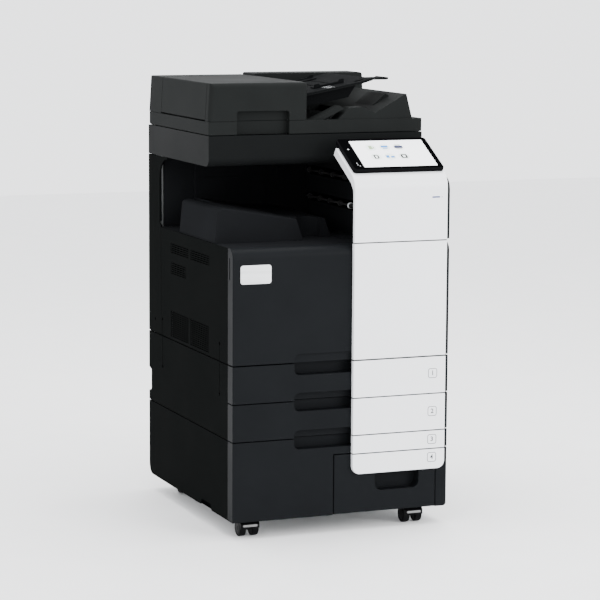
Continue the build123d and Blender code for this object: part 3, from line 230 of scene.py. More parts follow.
# Deep black without reflection: black parts, and painted shade in the white strip's seams.
SHADE_AND_BLACK = surface("shade_and_black", (0.0012, 0.0012, 0.0013), 0.8, edge_highlight=0.0, specular=0.0)
STEEL = surface(
    "plated_steel", (0.50, 0.50, 0.49), 0.30, grain=400.0, depth=0.04, metal=1.0, stretch=(1, 8, 1)
)
RUBBER_GREY = surface("rubber_grey", (0.035, 0.035, 0.038), 0.7, grain=2600.0, specular=0.2)
LEVER_GREEN = surface("lever_green", (0.05, 0.30, 0.16), 0.42)
TONER_YELLOW = surface("toner_yellow", (0.80, 0.58, 0.04), 0.45)
TONER_MAGENTA = surface("toner_magenta", (0.55, 0.04, 0.22), 0.45)
TONER_CYAN = surface("toner_cyan", (0.02, 0.32, 0.58), 0.45)
TONER_BLACK = surface("toner_black", (0.010, 0.010, 0.011), 0.45)
PAPER = surface("paper", (0.84, 0.84, 0.82), 0.75, grain=1800.0, stretch=(1, 1, 6), edge_highlight=0.0)


# ---------------------------------------------------------------- mesh tools
def face_frame(node, side):
    """Frame on one face of a CAD node's box. Its u and v axes run along the face from the lower
    left corner as seen from outside, in millimetres, and its w axis points outwards."""
    lo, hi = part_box(node)
    x, y, z = Vector((1, 0, 0)), Vector((0, 1, 0)), Vector((0, 0, 1))
    corner, u, v, w = {
        "front": ((lo.x, lo.y, lo.z), x, z, -y),
        "back": ((hi.x, hi.y, lo.z), -x, z, y),
        "left": ((lo.x, hi.y, lo.z), -y, z, -x),
        "right": ((hi.x, lo.y, lo.z), y, z, x),
        "top": ((lo.x, lo.y, hi.z), x, y, z),
        "under": ((lo.x, hi.y, lo.z), x, -y, -z),
    }[side]
    return make_frame(Vector(corner), u, v, w)


def make_frame(corner, u, v, w):
    """Matrix from (u, v, w) in millimetres to the scene."""
    frame_matrix = Matrix((u, v, w)).transposed().to_4x4() @ Matrix.Scale(MM, 4)
    frame_matrix.translation = corner
    return frame_matrix


def rectangle(u0, v0, u1, v1, radius=0.0, steps=5):
    """Rectangle outline with rounded corners, as (u, v) points."""
    if not radius:
        return [(u0, v0), (u1, v0), (u1, v1), (u0, v1)]
    points = []
    centres = (
        (u1 - radius, v0 + radius, -90), (u1 - radius, v1 - radius, 0),
        (u0 + radius, v1 - radius, 90), (u0 + radius, v0 + radius, 180),
    )
    for centre_u, centre_v, start in centres:
        for step in range(steps + 1):
            angle = radians(start + 90 * step / steps)
            points.append((centre_u + radius * cos(angle), centre_v + radius * sin(angle)))
    return points


def circle(u, v, radius, count=28):
    """Circle outline, as (u, v) points."""
    return [
        (u + radius * cos(2 * pi * i / count), v + radius * sin(2 * pi * i / count))
        for i in range(count)
    ]


def slab(mesh, where, outline, low, high):
    """Closed prism of an outline between the heights low and high over a face."""
    rings = []
    for height in (low, high):
        rings.append([mesh.verts.new(where @ Vector((u, v, height))) for u, v in outline])
    mesh.faces.new(list(reversed(rings[0])))
    mesh.faces.new(rings[1])
    count = len(outline)
    for i in range(count):
        j = (i + 1) % count
        mesh.faces.new((rings[0][i], rings[0][j], rings[1][j], rings[1][i]))


def ring(mesh, where, outer, inner, low, high):
    """Closed band between two outlines with the same number of points."""
    loops = {}
    for name, outline in (("outer", outer), ("inner", inner)):
        for height in (low, high):
            loops[name, height] = [
                mesh.verts.new(where @ Vector((u, v, height))) for u, v in outline
            ]
    count = len(outer)
    order = [("outer", low), ("outer", high), ("inner", high), ("inner", low)]
    for this, following in zip(order, order[1:] + order[:1]):
        for i in range(count):
            j = (i + 1) % count
            mesh.faces.new(
                (loops[this][i], loops[this][j], loops[following][j], loops[following][i])
            )


def piece(name, mesh, body, look, bevel=EDGE, segments=2):
    """Finished object from a bmesh, with bevelled edges, riding on a CAD body."""
    bmesh.ops.recalc_face_normals(mesh, faces=mesh.faces)
    data = bpy.data.meshes.new(name)
    mesh.to_mesh(data)
    mesh.free()
    data.materials.append(look)
    data.polygons.foreach_set("use_smooth", [True] * len(data.polygons))
    data.set_sharp_from_angle(angle=SHARP_ANGLE)
    made = bpy.data.objects.new(name, data)
    bpy.context.scene.collection.objects.link(made)
    if bevel:
        rounding = made.modifiers.new("edges", "BEVEL")
        rounding.width = bevel * MM
        rounding.segments = segments
        rounding.limit_method = "ANGLE"
        rounding.angle_limit = SHARP_ANGLE
        rounding.harden_normals = True
    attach(made, body)
    return made


def plates(name, where, shapes, body, look, bevel=EDGE):
    """One piece made of several prisms over the same face: (outline, low, high) each."""
    mesh = bmesh.new()
    for outline, low, high in shapes:
        slab(mesh, where, outline, low, high)
    return piece(name, mesh, body, look, bevel)


def numeral(name, where, text, u, v, size, height, body, look):
    """Raised numeral whose middle is at (u, v)."""
    curve = bpy.data.curves.new(name, "FONT")
    curve.body = text
    curve.size = size
    curve.extrude = height / 2
    curve.offset = 0.35
    curve.align_x, curve.align_y = "CENTER", "CENTER"
    written = bpy.data.objects.new(name + "_outline", curve)
    bpy.context.scene.collection.objects.link(written)
    bpy.context.view_layer.update()
    evaluated = written.evaluated_get(bpy.context.evaluated_depsgraph_get())
    data = bpy.data.meshes.new_from_object(evaluated)
    bpy.data.objects.remove(written)
    data.transform(where @ Matrix.Translation((u, v, height / 2)))
    data.name = name
    data.materials.clear()
    data.materials.append(look)
    made = bpy.data.objects.new(name, data)
    bpy.context.scene.collection.objects.link(made)
    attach(made, body)
    return made


# ---------------------------------------------------------------- front: badge and numerals
door_face = face_frame("front_door", "front")
plates(
    "badge_plate", door_face,
    [(rectangle(21, 213, 106, 262, 7), 0.0, 0.9),
     (rectangle(23.5, 215.5, 103.5, 259.5, 5), 0.9, 1.3)],
    "door", BADGE_FACE, bevel=0.3,
)
MARK_U, MARK_HALF = 230.0, 13.0              # middle and half width of a tray's square mark
MARK_LINE, MARK_HEIGHT, NUMERAL_SIZE = 1.4, 0.25, 17
for tray, mark_v in ((1, 53.3), (2, 50.2), (3, 24.0), (4, 32.0)):
    strip_face = face_frame(f"tray_{tray}_strip", "front")
    u0, v0, u1, v1 = MARK_U - MARK_HALF, mark_v - MARK_HALF, MARK_U + MARK_HALF, mark_v + MARK_HALF
    mark = bmesh.new()
    ring(
        mark, strip_face, rectangle(u0, v0, u1, v1, 6),
        rectangle(u0 + MARK_LINE, v0 + MARK_LINE, u1 - MARK_LINE, v1 - MARK_LINE, 4.6),
        0.0, MARK_HEIGHT,
    )
    piece(f"tray_{tray}_mark", mark, f"tray_{tray}", GREY_PRINT, bevel=0)
    numeral(
        f"tray_{tray}_number", strip_face, str(tray), MARK_U, mark_v, NUMERAL_SIZE, MARK_HEIGHT,
        f"tray_{tray}", GREY_PRINT,
    )

arm_face = face_frame("upper_front_panel", "front")
plates(
    "status_lamp", arm_face,
    [(rectangle(222.5, 111.8, 245, 115.4, 1.7), 0.0, 0.3), (circle(251, 113.4, 1.1, 12), 0.0, 0.3)],
    "machine", LAMP_BLUE, bevel=0,
)

# ---------------------------------------------------------------- touch screen
screen_low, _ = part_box("touch_screen")
SCREEN_TILT = radians(28.5)
slope = Vector((0, cos(SCREEN_TILT), sin(SCREEN_TILT)))
outward = Vector((0, -sin(SCREEN_TILT), cos(SCREEN_TILT)))
GLASS = 1.8                                  # thickness of the screen glass
screen_corner = Vector((screen_low.x, screen_low.y, screen_low.z))     # of the glass's underside
screen_corner.y = screen_low.y + GLASS * MM * sin(SCREEN_TILT)
screen_face = make_frame(screen_corner + outward * GLASS * MM, Vector((1, 0, 0)), slope, outward)
plates(
    "display", screen_face, [(rectangle(31, 10, 242, 136, 1.5), 0.0, 0.15)],
    "panel", DISPLAY, bevel=0,
)
ICON_TOP, ICON_LOW = 103.0, 58.0             # middles of the two rows of icons
RIM_OUTER, RIM_INNER, DISC_RADIUS = 15.0, 14.2, 14.0
for number, (u, v, look) in enumerate((
    (83, ICON_TOP, ICON_GREEN), (123, ICON_TOP, ICON_BLUE), (163, ICON_TOP, ICON_NAVY),
    (83, ICON_LOW, ICON_BLACK), (123, ICON_LOW, ICON_BLUE), (163, ICON_LOW, ICON_BLACK),
)):
    disc = bmesh.new()
    ring(disc, screen_face, circle(u, v, RIM_OUTER), circle(u, v, RIM_INNER), 0.15, 0.2)
    slab(disc, screen_face, circle(u, v, DISC_RADIUS), 0.15, 0.2)
    piece(f"icon_{number}_disc", disc, "panel", ICON_PALE, bevel=0)
    glyph = {
        0: [rectangle(u - 6, v - 8, u + 4, v + 8, 1), rectangle(u + 6, v - 5, u + 9, v + 5)],
        1: [rectangle(u - 10, v - 1, u + 10, v + 8, 1), rectangle(u - 7, v - 7, u + 7, v - 3)],
        2: [rectangle(u - 12, v - 5, u + 12, v + 5, 1), rectangle(u - 8, v + 7, u + 8, v + 10),
            rectangle(u - 8, v - 9, u + 8, v - 7)],
        3: [rectangle(u - 7, v - 9, u + 5, v - 6), rectangle(u - 7, v + 6, u + 5, v + 9),
            rectangle(u - 7, v - 6, u - 3, v + 6), rectangle(u + 3, v - 6, u + 7, v + 6)],
        4: [rectangle(u - 12, v - 6, u - 3, v + 6, 1), rectangle(u + 1, v - 6, u + 12, v + 2, 1)],
        5: [rectangle(u - 8, v - 9, u + 8, v - 5), rectangle(u - 8, v + 5, u + 8, v + 9),
            rectangle(u - 9, v - 5, u - 4, v + 5), rectangle(u + 4, v - 5, u + 9, v + 5)],
    }[number]
    plates(
        f"icon_{number}", screen_face, [(shape, 0.2, 0.28) for shape in glyph],
        "panel", look, bevel=0,
    )
plates(
    "panel_marks", screen_face,
    [(circle(16, 97, 2.2), 0.0, 0.15), (circle(16, 30, 1.4), 0.0, 0.15),
     (circle(16, 22, 1.4), 0.0, 0.15), (circle(21, 17, 1.4), 0.0, 0.15)],
    "panel", PALE_PRINT_AND_HIGHLIGHT, bevel=0,
)

plates(
    "panel_socket", screen_face,
    [(rectangle(-1.9, 40, -0.6, 62, 0.5), -6.5, -2.5),
     (rectangle(-1.9, 70, -0.6, 78, 0.5), -6.0, -3.5)],
    "panel", BADGE_FACE, bevel=0,
)

# ---------------------------------------------------------------- frames of the whole machine
DATUM = Vector((0, -339.0, 47.0)) * MM      # middle of the black fronts, at the covers' lower edge
ACROSS, INWARD, UPWARD = Vector((1, 0, 0)), Vector((0, 1, 0)), Vector((0, 0, 1))
plan_view = make_frame(DATUM, ACROSS, INWARD, UPWARD)       # outlines in (x, depth), height
front_view = make_frame(DATUM, ACROSS, UPWARD, -INWARD)     # outlines in (x, height), -depth
side_view = make_frame(DATUM, INWARD, UPWARD, ACROSS)       # outlines in (depth, height), x


def upright(outline, near, far):
    """Prism of an (x, height) outline between two depths."""
    return (outline, -far, -near)


def rods(name, rows, body, look, count=24):
    """Bars with chamfered ends along the depth: (x, height, radius, near, far) each."""
    mesh = bmesh.new()
    for x, height, radius, near, far in rows:
        slab(mesh, front_view, circle(x, height, radius, count), -far, -near)
    return piece(name, mesh, body, look, bevel=0.6)


# ---------------------------------------------------------------- seams of the white strip, dark with painted shade
STRIP_LEFT, STRIP_RIGHT = 28.0, 294.0
SEAM_FRONT, SEAM_BACK = -11.95, -0.5         # depths: the strip's face is at -12


def strip_seam(name, body, band, core):
    """Dark band across the strip between two heights, with a narrower core that reaches the
    parts below and above: the black body behind the white skin, and painted shade of the gap."""
    plates(
        name, plan_view,
        [(rectangle(STRIP_LEFT, SEAM_FRONT, STRIP_RIGHT, SEAM_BACK, 1.5), *band),
         (rectangle(STRIP_LEFT + 2, -9.0, STRIP_RIGHT - 2, -2.5, 1), *core)],
        body, SHADE_AND_BLACK, bevel=0,
    )


for tray, seam_low, seam_high in (
    (4, 161.6, 164.2), (3, 211.6, 214.2), (2, 311.6, 314.2), (1, 412.6, 413.3),
):
    strip_seam(
        f"tray_{tray}_seam", f"tray_{tray}", (seam_low, seam_high), (seam_low - 0.05, seam_high + 0.1)
    )
strip_seam("panel_seam", "machine", (723.9, 726.4), (723.8, 726.45))

# ---------------------------------------------------------------- rim of tray 4's finger recess
rim = bmesh.new()
ring(
    rim, front_view, rectangle(95.6, 56.1, 226.4, 118.0, 20.4, 8),
    rectangle(97.2, 57.7, 224.8, 116.4, 18.8, 8), -0.6, 0.35,
)
piece("tray_4_grip_rim", rim, "tray_4", LOOKS["charcoal_plastic"], bevel=0.3)

# ---------------------------------------------------------------- sides: notch, baffles, seals
COVER_BACK = 303.3                           # just clear of the side covers' inner face
notch = [(rectangle(160, 0.4, 254, 14.6, 2), -302.8, -290)]
notch += [(rectangle(168 + 18 * i, 2, 171 + 18 * i, 13), -COVER_BACK, -302.6) for i in range(5)]
plates("base_bracket", side_view, notch, "machine", SHADE_AND_BLACK)
for number, (middle_depth, middle_height, length, height) in enumerate((
    (257.0, 670.0, 150.0, 26.0), (424.0, 670.0, 150.0, 26.0), (434.5, 614.5, 125.0, 32.0),
    (260.0, 459.0, 150.0, 72.0), (424.0, 459.0, 150.0, 72.0),
)):
    low_depth, high_depth = middle_depth - length / 2 - 3, middle_depth + length / 2 + 3
    low_height, high_height = middle_height - height / 2 - 2, middle_height + height / 2 + 2
    baffle = [(rectangle(low_depth, low_height, high_depth, high_height, 3), -301.6, -300.4)]
    for i in range(6):
        rib = low_depth + 4 + i * (length - 4) / 5
        baffle.append(
            (rectangle(rib, low_height + 1, rib + 1.6, high_height - 1), -COVER_BACK, -301.5)
        )
    plates(f"side_baffle_{number}", side_view, baffle, "machine", SHADE_AND_BLACK, bevel=0.2)
for number, vent_x in enumerate((-150.0, 150.0)):
    baffle = [upright(rectangle(vent_x - 90, 734, vent_x + 90, 846, 4), 681.0, 682.4)]
    baffle += [
        upright(rectangle(vent_x - 80 + 20 * i, 736, vent_x - 78 + 20 * i, 844), 682.3, 684.2)
        for i in range(9)
    ]
    plates(f"rear_baffle_{number}", front_view, baffle, "machine", SHADE_AND_BLACK, bevel=0.2)

SEAL = 2.6                                   # strips behind the seams of the side covers
for name, seal_x in (
    ("left", (-COVER_BACK, -COVER_BACK + SEAL)), ("right", (COVER_BACK - SEAL, COVER_BACK)),
):
    shapes = [(rectangle(42, seam - 5, 650, seam + 2, 1.5), *seal_x) for seam in (213.0, 414.0)]
    shapes.append((rectangle(39.5, 6, 43.5, 408, 1), *seal_x))
    plates(f"{name}_seals", side_view, shapes, "machine", SHADE_AND_BLACK, bevel=0.3)

# ---------------------------------------------------------------- output cavity
CAVITY_BACK = 590.2                          # depth just behind the cavity wall's face
cavity_ribs = [
    upright(rectangle(-112, 786, -109.5, 905), 588.6, CAVITY_BACK),
    upright(rectangle(6, 776, 8.5, 905), 588.6, CAVITY_BACK),
    upright(rectangle(-196, 852, 126, 854.5), 588.8, CAVITY_BACK),
    upright(rectangle(-196, 903, 126, 906), 587.5, CAVITY_BACK),
    upright(rectangle(40, 858, 66, 878, 3), 586.5, CAVITY_BACK),
    upright(rectangle(44, 862, 62, 874, 2), 585.6, 586.6),
]
plates("cavity_ribs", front_view, cavity_ribs, "machine", LOOKS["cavity_plastic"])
deck_ribs = [(rectangle(58 + 14 * i, 158, 60 + 14 * i, 580, 0.8), 719.0, 720.6) for i in range(5)]
deck_ribs.append((rectangle(54, 152, 126, 156, 1.5), 719.0, 721.4))
plates("deck_ribs", plan_view, deck_ribs, "machine", LOOKS["cavity_plastic"])
lining = [
    (rectangle(596, 735, 599, 905, 1), -COVER_BACK, -300.0),
    (rectangle(596, 902, 604, 905, 1), -COVER_BACK, -292.0),
]
plates("cavity_lining", side_view, lining, "machine", LOOKS["cavity_plastic"])
# The output tray climbs to the left, from (-71, 776) to (-276, 811) in (x, height).
TRAY_RISE = (811.0 - 776.0) / (276.0 - 71.0)
tray_lift = Vector((-1, 0, TRAY_RISE)).normalized()
tray_out = Vector((TRAY_RISE, 0, 1)).normalized()
paper_slope = make_frame(DATUM + Vector((-71, 0, 776)) * MM, tray_lift, INWARD, tray_out)
ribs = [(rectangle(16, 178 + 28 * i, 188, 180 + 28 * i, 0.9), -0.2, 0.7) for i in range(9)]
plates(
    "output_ribs", paper_slope, ribs, "machine", LOOKS["cavity_plastic"], bevel=0.2
)

ROLLER_X, ROLLER_HEIGHT = 124, 797           # axis of the lower exit rollers
SLEEVE_OUTER, SLEEVE_INNER, SLEEVE_LENGTH = 8.2, 7.0, 9
sleeve_outer = circle(ROLLER_X, ROLLER_HEIGHT, SLEEVE_OUTER)
sleeve_inner = circle(ROLLER_X, ROLLER_HEIGHT, SLEEVE_INNER)
# The two nearer sleeves are pale: a painted highlight where light falls on the front rollers.
sleeves = bmesh.new()
for near in (166.5, 240.0):
    ring(sleeves, front_view, sleeve_outer, sleeve_inner, -near - SLEEVE_LENGTH, -near)
piece("roller_sleeves", sleeves, "rollers_lower", PALE_PRINT_AND_HIGHLIGHT, bevel=0.3)

# ---------------------------------------------------------------- document tray
DOC_RISE = 41.0 / 218.0                      # slope of the tray, which climbs to the right
doc_along = Vector((1, 0, DOC_RISE)).normalized()
doc_out = Vector((-DOC_RISE, 0, 1)).normalized()
doc_top = make_frame(DATUM + Vector((-24, 240, 1101.5)) * MM, doc_along, INWARD, doc_out)
plates(
    "tray_ribs", doc_top,
    [(rectangle(12, 70 + 32 * i, 158, 71.6 + 32 * i, 0.7), -0.1, 0.22) for i in range(9)],
    "feeder_tray", LOOKS["feeder_plastic"], bevel=0,
)
plates(
    "guide_slots", doc_top,
    [(rectangle(86, 100, 92, 278, 2.5), 0.0, 0.12), (rectangle(126, 100, 130, 278, 1.8), 0.0, 0.12),
     (rectangle(170, 20, 196, 42, 3), 0.0, 0.12)],
    "feeder_tray", SHADE_AND_BLACK, bevel=0,
)
plates(
    "size_marks", doc_top,
    [(rectangle(84, 14 + 9 * i, 106 - 6 * (i % 2), 15.2 + 9 * i, 0.4), 0.0, 0.12)
     for i in range(6)],
    "feeder_tray", PALE_PRINT_AND_HIGHLIGHT, bevel=0,
)
plates(
    "tray_trim", front_view,
    [upright([(-22, 1095.4), (148, 1127.4), (148, 1129.6), (-22, 1097.6)], 238.8, 240.2),
     upright([(-22, 1099.6), (148, 1131.6), (148, 1132.8), (-22, 1100.8)], 239.2, 240.2)],
    "feeder_tray", LOOKS["scanner_plastic"], bevel=0.2,
)

# ---------------------------------------------------------------- feeder's works under its cover
SHAFTS = ((-92, 1098, 11), (-150, 1096, 9.5), (-214, 1096, 9.5))     # x, height, roller radius
SHAFT_RADIUS, ROLLER_LENGTH = 3, 22
rods(
    "feed_shafts", [(x, height, SHAFT_RADIUS, 226, 574) for x, height, _ in SHAFTS],
    "feeder", STEEL,
)
rubber = [
    (x, height, radius, near, near + ROLLER_LENGTH)
    for x, height, radius in SHAFTS for near in (292, 372, 452, 520)
]
rods("feed_rollers", rubber, "feeder", RUBBER_GREY)
FEED_FLOOR, FEED_TOP = 1084.0, 1090.0        # heights of the paper guide
plates(
    "feed_guide", plan_view,
    [(rectangle(-288, 224, -236, 572, 4), FEED_FLOOR, 1088.0),
     (rectangle(-196, 226, -166, 572, 2), FEED_FLOOR, 1087.0),
     (rectangle(-136, 226, -106, 572, 2), FEED_FLOOR, 1087.0),
     (rectangle(-72, 230, -40, 568, 4), FEED_FLOOR, FEED_TOP)]
    + [(rectangle(-284 + 11 * i, 230, -282 + 11 * i, 566), 1088.0, FEED_TOP) for i in range(5)],
    "feeder", LOOKS["bin_plastic"],
)
plates(
    "jam_lever", plan_view,
    [(rectangle(-70, 244, -46, 262, 5), FEED_TOP, 1096.0),
     (rectangle(-66, 258, -50, 292, 5), FEED_TOP, 1093.0)],
    "feeder", LEVER_GREEN, bevel=1.0,
)

# ---------------------------------------------------------------- scanner bed
BED_TOP, SCALE_TOP, TICK_TOP = 999.0, 999.25, 999.35
TICK_STEP = 10
scales = [
    (rectangle(-235.5, 240, -228, 560, 1), BED_TOP, SCALE_TOP),
    (rectangle(-225, 562, 225, 570, 1), BED_TOP, SCALE_TOP),
]
plates("bed_scales", plan_view, scales, "machine", PALE_PRINT_AND_HIGHLIGHT, bevel=0)
ticks = [rectangle(-231, 246 + TICK_STEP * i, -228.4, 246.7 + TICK_STEP * i) for i in range(31)]
ticks += [rectangle(-220 + TICK_STEP * i, 562.4, -219.3 + TICK_STEP * i, 565) for i in range(45)]
plates(
    "bed_ticks", plan_view, [(tick, SCALE_TOP, TICK_TOP) for tick in ticks],
    "machine", GREY_PRINT, bevel=0,
)
plates(
    "carriage_optics", plan_view,
    [(rectangle(-264, 232, -258, 578, 1), 978.0, 979.0),
     (rectangle(-283, 234, -270, 576, 2), 986.0, 987.2),
     (rectangle(-252, 234, -240, 576, 2), 986.0, 987.2)],
    "carriage", PALE_PRINT_AND_HIGHLIGHT, bevel=0.2,
)

# ---------------------------------------------------------------- paper trays
STACK_SHIFTS = (0.0, 0.7, -0.4, 0.5, -0.7, 0.2)       # how far each bundle of paper is off
LIFT_HEIGHT = 2.6                            # top of the lift plate over the tray's floor
FENCE_THICK, FENCE_FOOT = 3.5, 16
# Tray, sides, paper's distance from the sides, floor height, paper's height.
for tray, x0, x1, inset, floor_height, top_height in (
    (1, -285, 285, 36, 325.0, 388.0), (2, -285, 285, 36, 225.0, 270.0), (4, -7, 259, 22, 24.6, 112.0),
):
    body = f"tray_{tray}"
    lifted, fence_top = floor_height + LIFT_HEIGHT, top_height + 6
    plates(
        f"lift_plate_{tray}", plan_view,
        [(rectangle(x0 + 6, 46, x1 - 6, 592, 6), floor_height + 0.4, floor_height + 1.8),
         (rectangle(x0 + 20, 60, x1 - 20, 580, 8), floor_height + 1.8, lifted)],
        body, STEEL,
    )
    sheets = []
    step = (top_height - floor_height - 4) / len(STACK_SHIFTS)
    for layer, shift in enumerate(STACK_SHIFTS):
        sheets.append((
            rectangle(x0 + inset + shift, 72 - shift, x1 - inset + shift, 552 - shift),
            floor_height + 2.7 + step * layer, lifted + step * (layer + 1),
        ))
    plates(f"paper_stack_{tray}", plan_view, sheets, body, PAPER, bevel=0.15)
    fences = []
    for side_x, turn in ((x0 + inset - 5, 1), (x1 - inset + 1.5, -1)):
        side = rectangle(side_x, 190, side_x + FENCE_THICK, 420, 1.2)
        foot_near, foot_far = sorted((side_x + 1.5, side_x + 1.5 - FENCE_FOOT * turn))
        foot = rectangle(foot_near, 230, foot_far, 380, 3)
        fences += [(side, lifted, fence_top), (foot, lifted, floor_height + 6)]
    centre = (x0 + x1) / 2
    fences.append((rectangle(centre - 30, 553.5, centre + 30, 557, 1.2), lifted, fence_top))
    plates(
        f"side_fences_{tray}", plan_view, fences, body, LOOKS["bin_plastic"], bevel=0.4
    )

# Tray 3 holds a deep stack on its lift plate, and a second one on the shelf beside it.
DEEP_FLOOR, DEEP_STEP, DEEP_FENCE_TOP = 27.8, 26, 198
SHELF_FLOOR, SHELF_STEP, SHELF_FENCE_TOP = 171.2, 4, 202
plates(
    "lift_plate_3", plan_view,
    [(rectangle(-280, 46, -44, 592, 6), 25.5, 27.0),
     (rectangle(-270, 60, -54, 580, 8), 27.0, DEEP_FLOOR)],
    "tray_3", STEEL,
)
plates(
    "paper_stack_3", plan_view,
    [(rectangle(-268 + shift, 80, -56 + shift, 380),
      27.9 + DEEP_STEP * layer, DEEP_FLOOR + DEEP_STEP * (layer + 1))
     for layer, shift in enumerate((0.0, 0.6, -0.4, 0.5, -0.6, 0.2))]
    + [(rectangle(-22 + shift, 80, 190 + shift, 380),
        171.4 + SHELF_STEP * layer, 171.3 + SHELF_STEP * (layer + 1))
       for layer, shift in enumerate((0.0, 0.5, -0.4, 0.4, 0.0))],
    "tray_3", PAPER, bevel=0.15,
)
plates(
    "side_fences_3", plan_view,
    [(rectangle(-273, 140, -269.5, 330, 1.2), DEEP_FLOOR, DEEP_FENCE_TOP),
     (rectangle(-53, 140, -49.5, 330, 1.2), DEEP_FLOOR, DEEP_FENCE_TOP),
     (rectangle(-190, 381.5, -130, 385, 1.2), DEEP_FLOOR, DEEP_FENCE_TOP),
     (rectangle(-28, 140, -24.5, 330, 1), SHELF_FLOOR, SHELF_FENCE_TOP),
     (rectangle(192, 140, 195.5, 330, 1), SHELF_FLOOR, SHELF_FENCE_TOP),
     (rectangle(60, 381.5, 110, 385, 1), SHELF_FLOOR, SHELF_FENCE_TOP)],
    "tray_3", LOOKS["bin_plastic"], bevel=0.4,
)

# ---------------------------------------------------------------- behind the front door
CARTRIDGE_HEIGHT = 664                       # height of the four cartridges' middles
CAP_OUTER, CAP_INNER, STUD_CIRCLE, STUD_RADIUS = 27, 21, 24, 1.8
for name, cartridge_x, look in (
    ("yellow", -232.0, TONER_YELLOW), ("magenta", -134.0, TONER_MAGENTA),
    ("cyan", -36.0, TONER_CYAN), ("black", 62.0, TONER_BLACK),
):
    cap = bmesh.new()
    ring(
        cap, front_view, circle(cartridge_x, CARTRIDGE_HEIGHT, CAP_OUTER, 40),
        circle(cartridge_x, CARTRIDGE_HEIGHT, CAP_INNER, 40), -46.2, -44.6,
    )
    for angle in range(0, 360, 45):
        u = cartridge_x + STUD_CIRCLE * cos(radians(angle))
        v = CARTRIDGE_HEIGHT + STUD_CIRCLE * sin(radians(angle))
        slab(cap, front_view, circle(u, v, STUD_RADIUS, 10), -44.8, -44.2)
    piece(f"cartridge_ring_{name}", cap, "machine", look, bevel=0.4)
plates(
    "inner_labels", front_view,
    [upright(rectangle(-262 + 98 * i, 598, -206 + 98 * i, 612, 2), 49.6, 50.1) for i in range(4)]
    + [upright(rectangle(-60, 447, 20, 465, 2), 43.6, 44.1)],
    "machine", PALE_PRINT_AND_HIGHLIGHT, bevel=0,
)
inner_ribs = [rectangle(-290 + 6 * i, 500, -288 + 6 * i, 584, 0.8) for i in range(8)]
inner_ribs += [rectangle(196 + 6 * i, 500, 198 + 6 * i, 584, 0.8) for i in range(14)]
inner_ribs += [rectangle(-292, height, 292, height + 2, 0.8) for height in (620, 490)]
plates(
    "inner_ribs", front_view, [upright(rib, 48.8, 50.2) for rib in inner_ribs],
    "machine", LOOKS["bin_plastic"], bevel=0.2,
)
plates(
    "waste_latch", front_view,
    [upright(rectangle(118, 446, 140, 466, 4), 41.6, 44.2),
     upright(rectangle(122, 450, 136, 462, 3), 40.8, 41.8)],
    "machine", LEVER_GREEN, bevel=0.6,
)

# ---------------------------------------------------------------- rear panel
PORT_BASE, PORT_FACE = 689.2, 689.6          # depths of the sockets on the port plate
plates(
    "port_plate", front_view,
    [upright(rectangle(150, 560, 270, 640, 4), 687.9, 689.0),
     upright(rectangle(154, 564, 266, 636, 3), 688.9, 689.3)],
    "machine", LOOKS["bin_plastic"], bevel=0.3,
)
sockets = [
    rectangle(162, 610, 176, 622, 1), rectangle(184, 610, 200, 616, 0.6),
    rectangle(184, 619, 200, 625, 0.6), rectangle(210, 608, 226, 624, 1),
    rectangle(234, 610, 254, 622, 2),
]
plates(
    "ports", front_view,
    [upright(socket, PORT_BASE, PORT_FACE) for socket in sockets]
    + [upright(rectangle(162, 576, 254, 594, 2), PORT_BASE, 689.5)],
    "machine", SHADE_AND_BLACK, bevel=0,
)
plates(
    "rating_plate", front_view,
    [upright(rectangle(-200, 66, -130, 108, 3), 688.2, 688.8),
     upright(rectangle(-196, 70, -134, 104, 2), 688.7, 688.95)],
    "machine", GREY_PRINT, bevel=0,
)
plates(
    "mains_switch", front_view,
    [upright(rectangle(-222, 76, -206, 100, 2), 687.9, 689.4),
     upright(rectangle(-219, 79, -209, 97, 1.5), 689.2, 689.9)],
    "machine", SHADE_AND_BLACK, bevel=0.3,
)

# ---------------------------------------------------------------- right side
plates(
    "bypass_grip", side_view,
    [(rectangle(274 + 8 * i, 684, 278 + 8 * i, 687, 1), 306.6, 307.4) for i in range(7)],
    "bypass", LOOKS["cover_plastic"], bevel=0.2,
)
plates(
    "bypass_guides", side_view,
    [(rectangle(170, 520, 174, 640, 1.5), 299.3, 300.7),
     (rectangle(426, 520, 430, 640, 1.5), 299.3, 300.7),
     (rectangle(150, 560, 450, 563, 1), 299.9, 300.7)],
    "bypass", LOOKS["bin_plastic"], bevel=0.3,
)
plates(
    "door_latch", side_view,
    [(rectangle(90, 584, 96, 616, 2), 299.0, 301.5),
     (rectangle(96, 590, 110, 610, 3), 299.0, 300.6)],
    "side_door", LOOKS["bin_plastic"], bevel=0.5,
)

# ---------------------------------------------------------------- casters
STEM_TRAIL, AXLE_HEIGHT = 16.0, -24.5        # the axle is this far in front of its stem
HUB_FACE = 26.4                              # from the stem, just inside the wheels' outer faces
for corner, stem_x, stem_y in (
    ("front_left", -249.5, 66.0), ("front_right", 222.5, 66.0),
    ("rear_left", -224.0, 613.0), ("rear_right", 222.5, 613.0),
):
    axle_y = stem_y - STEM_TRAIL
    hubs = []
    for side in (-1, 1):
        for radius, count, face in ((15, 32, 26.9), (6, 20, 27.6)):
            near, far = sorted((stem_x + side * HUB_FACE, stem_x + side * face))
            hubs.append((circle(axle_y, AXLE_HEIGHT, radius, count), near, far))
    plates(
        f"hub_{corner}", side_view, hubs, f"wheel_{corner}",
        LOOKS["caster_plastic"], bevel=0.3,
    )
    if corner.startswith("front"):
        lever = rectangle(stem_x - 20, -18.5, stem_x + 20, -12.5, 2.2)
        lever_rib = rectangle(stem_x - 11, -16.6, stem_x + 11, -14.4, 0.9)
        plates(
            f"brake_{corner}", front_view,
            [upright(lever, axle_y - 29.0, axle_y - 25.8),
             upright(lever_rib, axle_y - 29.7, axle_y - 28.9)],
            f"caster_{corner}", LOOKS["screw_steel"], bevel=0.5,
        )

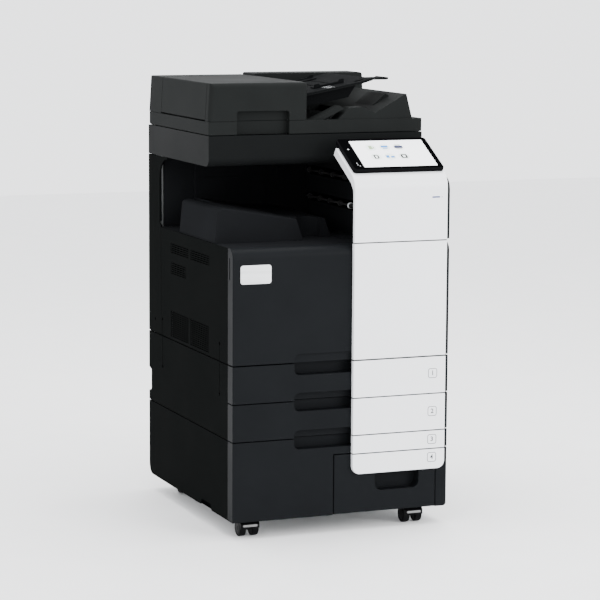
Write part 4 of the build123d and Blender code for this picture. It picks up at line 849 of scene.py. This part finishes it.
# ---------------------------------------------------------------- studio
FLOOR_HALF = 9.0                             # half the floor's side, in metres
FLOOR_GAP = 0.0005
SKY_COLOUR, SKY_STRENGTH = (0.97, 0.98, 1.0, 1), 2.7
floor_mesh = bmesh.new()
bmesh.ops.create_grid(floor_mesh, x_segments=24, y_segments=24, size=FLOOR_HALF)
floor_data = bpy.data.meshes.new("floor")
floor_mesh.to_mesh(floor_data)
floor_mesh.free()
floor = bpy.data.objects.new("floor", floor_data)
floor.location = (0, 0, cad_low.z - FLOOR_GAP)
bpy.context.scene.collection.objects.link(floor)
floor_data.materials.append(surface(
    "studio_floor", (0.88, 0.88, 0.88), 0.65, grain=300.0, depth=0.02, edge_highlight=0.0, cloudy=0.01
))

world = bpy.data.worlds.new("studio")
world.use_nodes = True
sky = world.node_tree.nodes["Background"]
sky.inputs["Color"].default_value = SKY_COLOUR
sky.inputs["Strength"].default_value = SKY_STRENGTH
bpy.context.scene.world = world

middle = (cad_low + cad_high) / 2


def softbox(name, place, size, power):
    """Large soft light that faces the middle of the object."""
    light = bpy.data.lights.new(name, "AREA")
    light.shape = "RECTANGLE"
    light.size, light.size_y = size
    light.energy = power
    lamp = bpy.data.objects.new(name, light)
    lamp.location = place
    lamp.rotation_mode = "QUATERNION"
    lamp.rotation_quaternion = (middle - Vector(place)).to_track_quat("-Z", "Y")
    bpy.context.scene.collection.objects.link(lamp)
    return lamp


softbox("top_light", (0.2, 0.2, 3.6), (3.2, 3.2), 140)
softbox("front_light", (2.4, -4.2, 2.2), (2.2, 2.2), 160)

# ---------------------------------------------------------------- camera
LENS, SENSOR = 144.65, 36.0                  # millimetres
CAMERA_PLACE = Vector((-2.4342, -6.1180, 1.4976))
CAMERA_AZIMUTH, CAMERA_DOWN, CAMERA_ROLL = radians(21.8147), radians(7.952), radians(0.3159)
looking = Vector((
    sin(CAMERA_AZIMUTH) * cos(CAMERA_DOWN), cos(CAMERA_AZIMUTH) * cos(CAMERA_DOWN),
    -sin(CAMERA_DOWN),
))
level = looking.cross(Vector((0, 0, 1))).normalized()
upward = level.cross(looking)
right_axis = cos(CAMERA_ROLL) * level + sin(CAMERA_ROLL) * upward
up_axis = cos(CAMERA_ROLL) * upward - sin(CAMERA_ROLL) * level
camera_data = bpy.data.cameras.new("camera")
camera_data.lens, camera_data.sensor_width = LENS, SENSOR
camera_data.clip_end = 60.0
camera = bpy.data.objects.new("camera", camera_data)
camera.matrix_world = Matrix.Translation(CAMERA_PLACE) @ Matrix(
    (right_axis, up_axis, -looking)
).transposed().to_4x4()
bpy.context.scene.collection.objects.link(camera)
bpy.context.scene.camera = camera
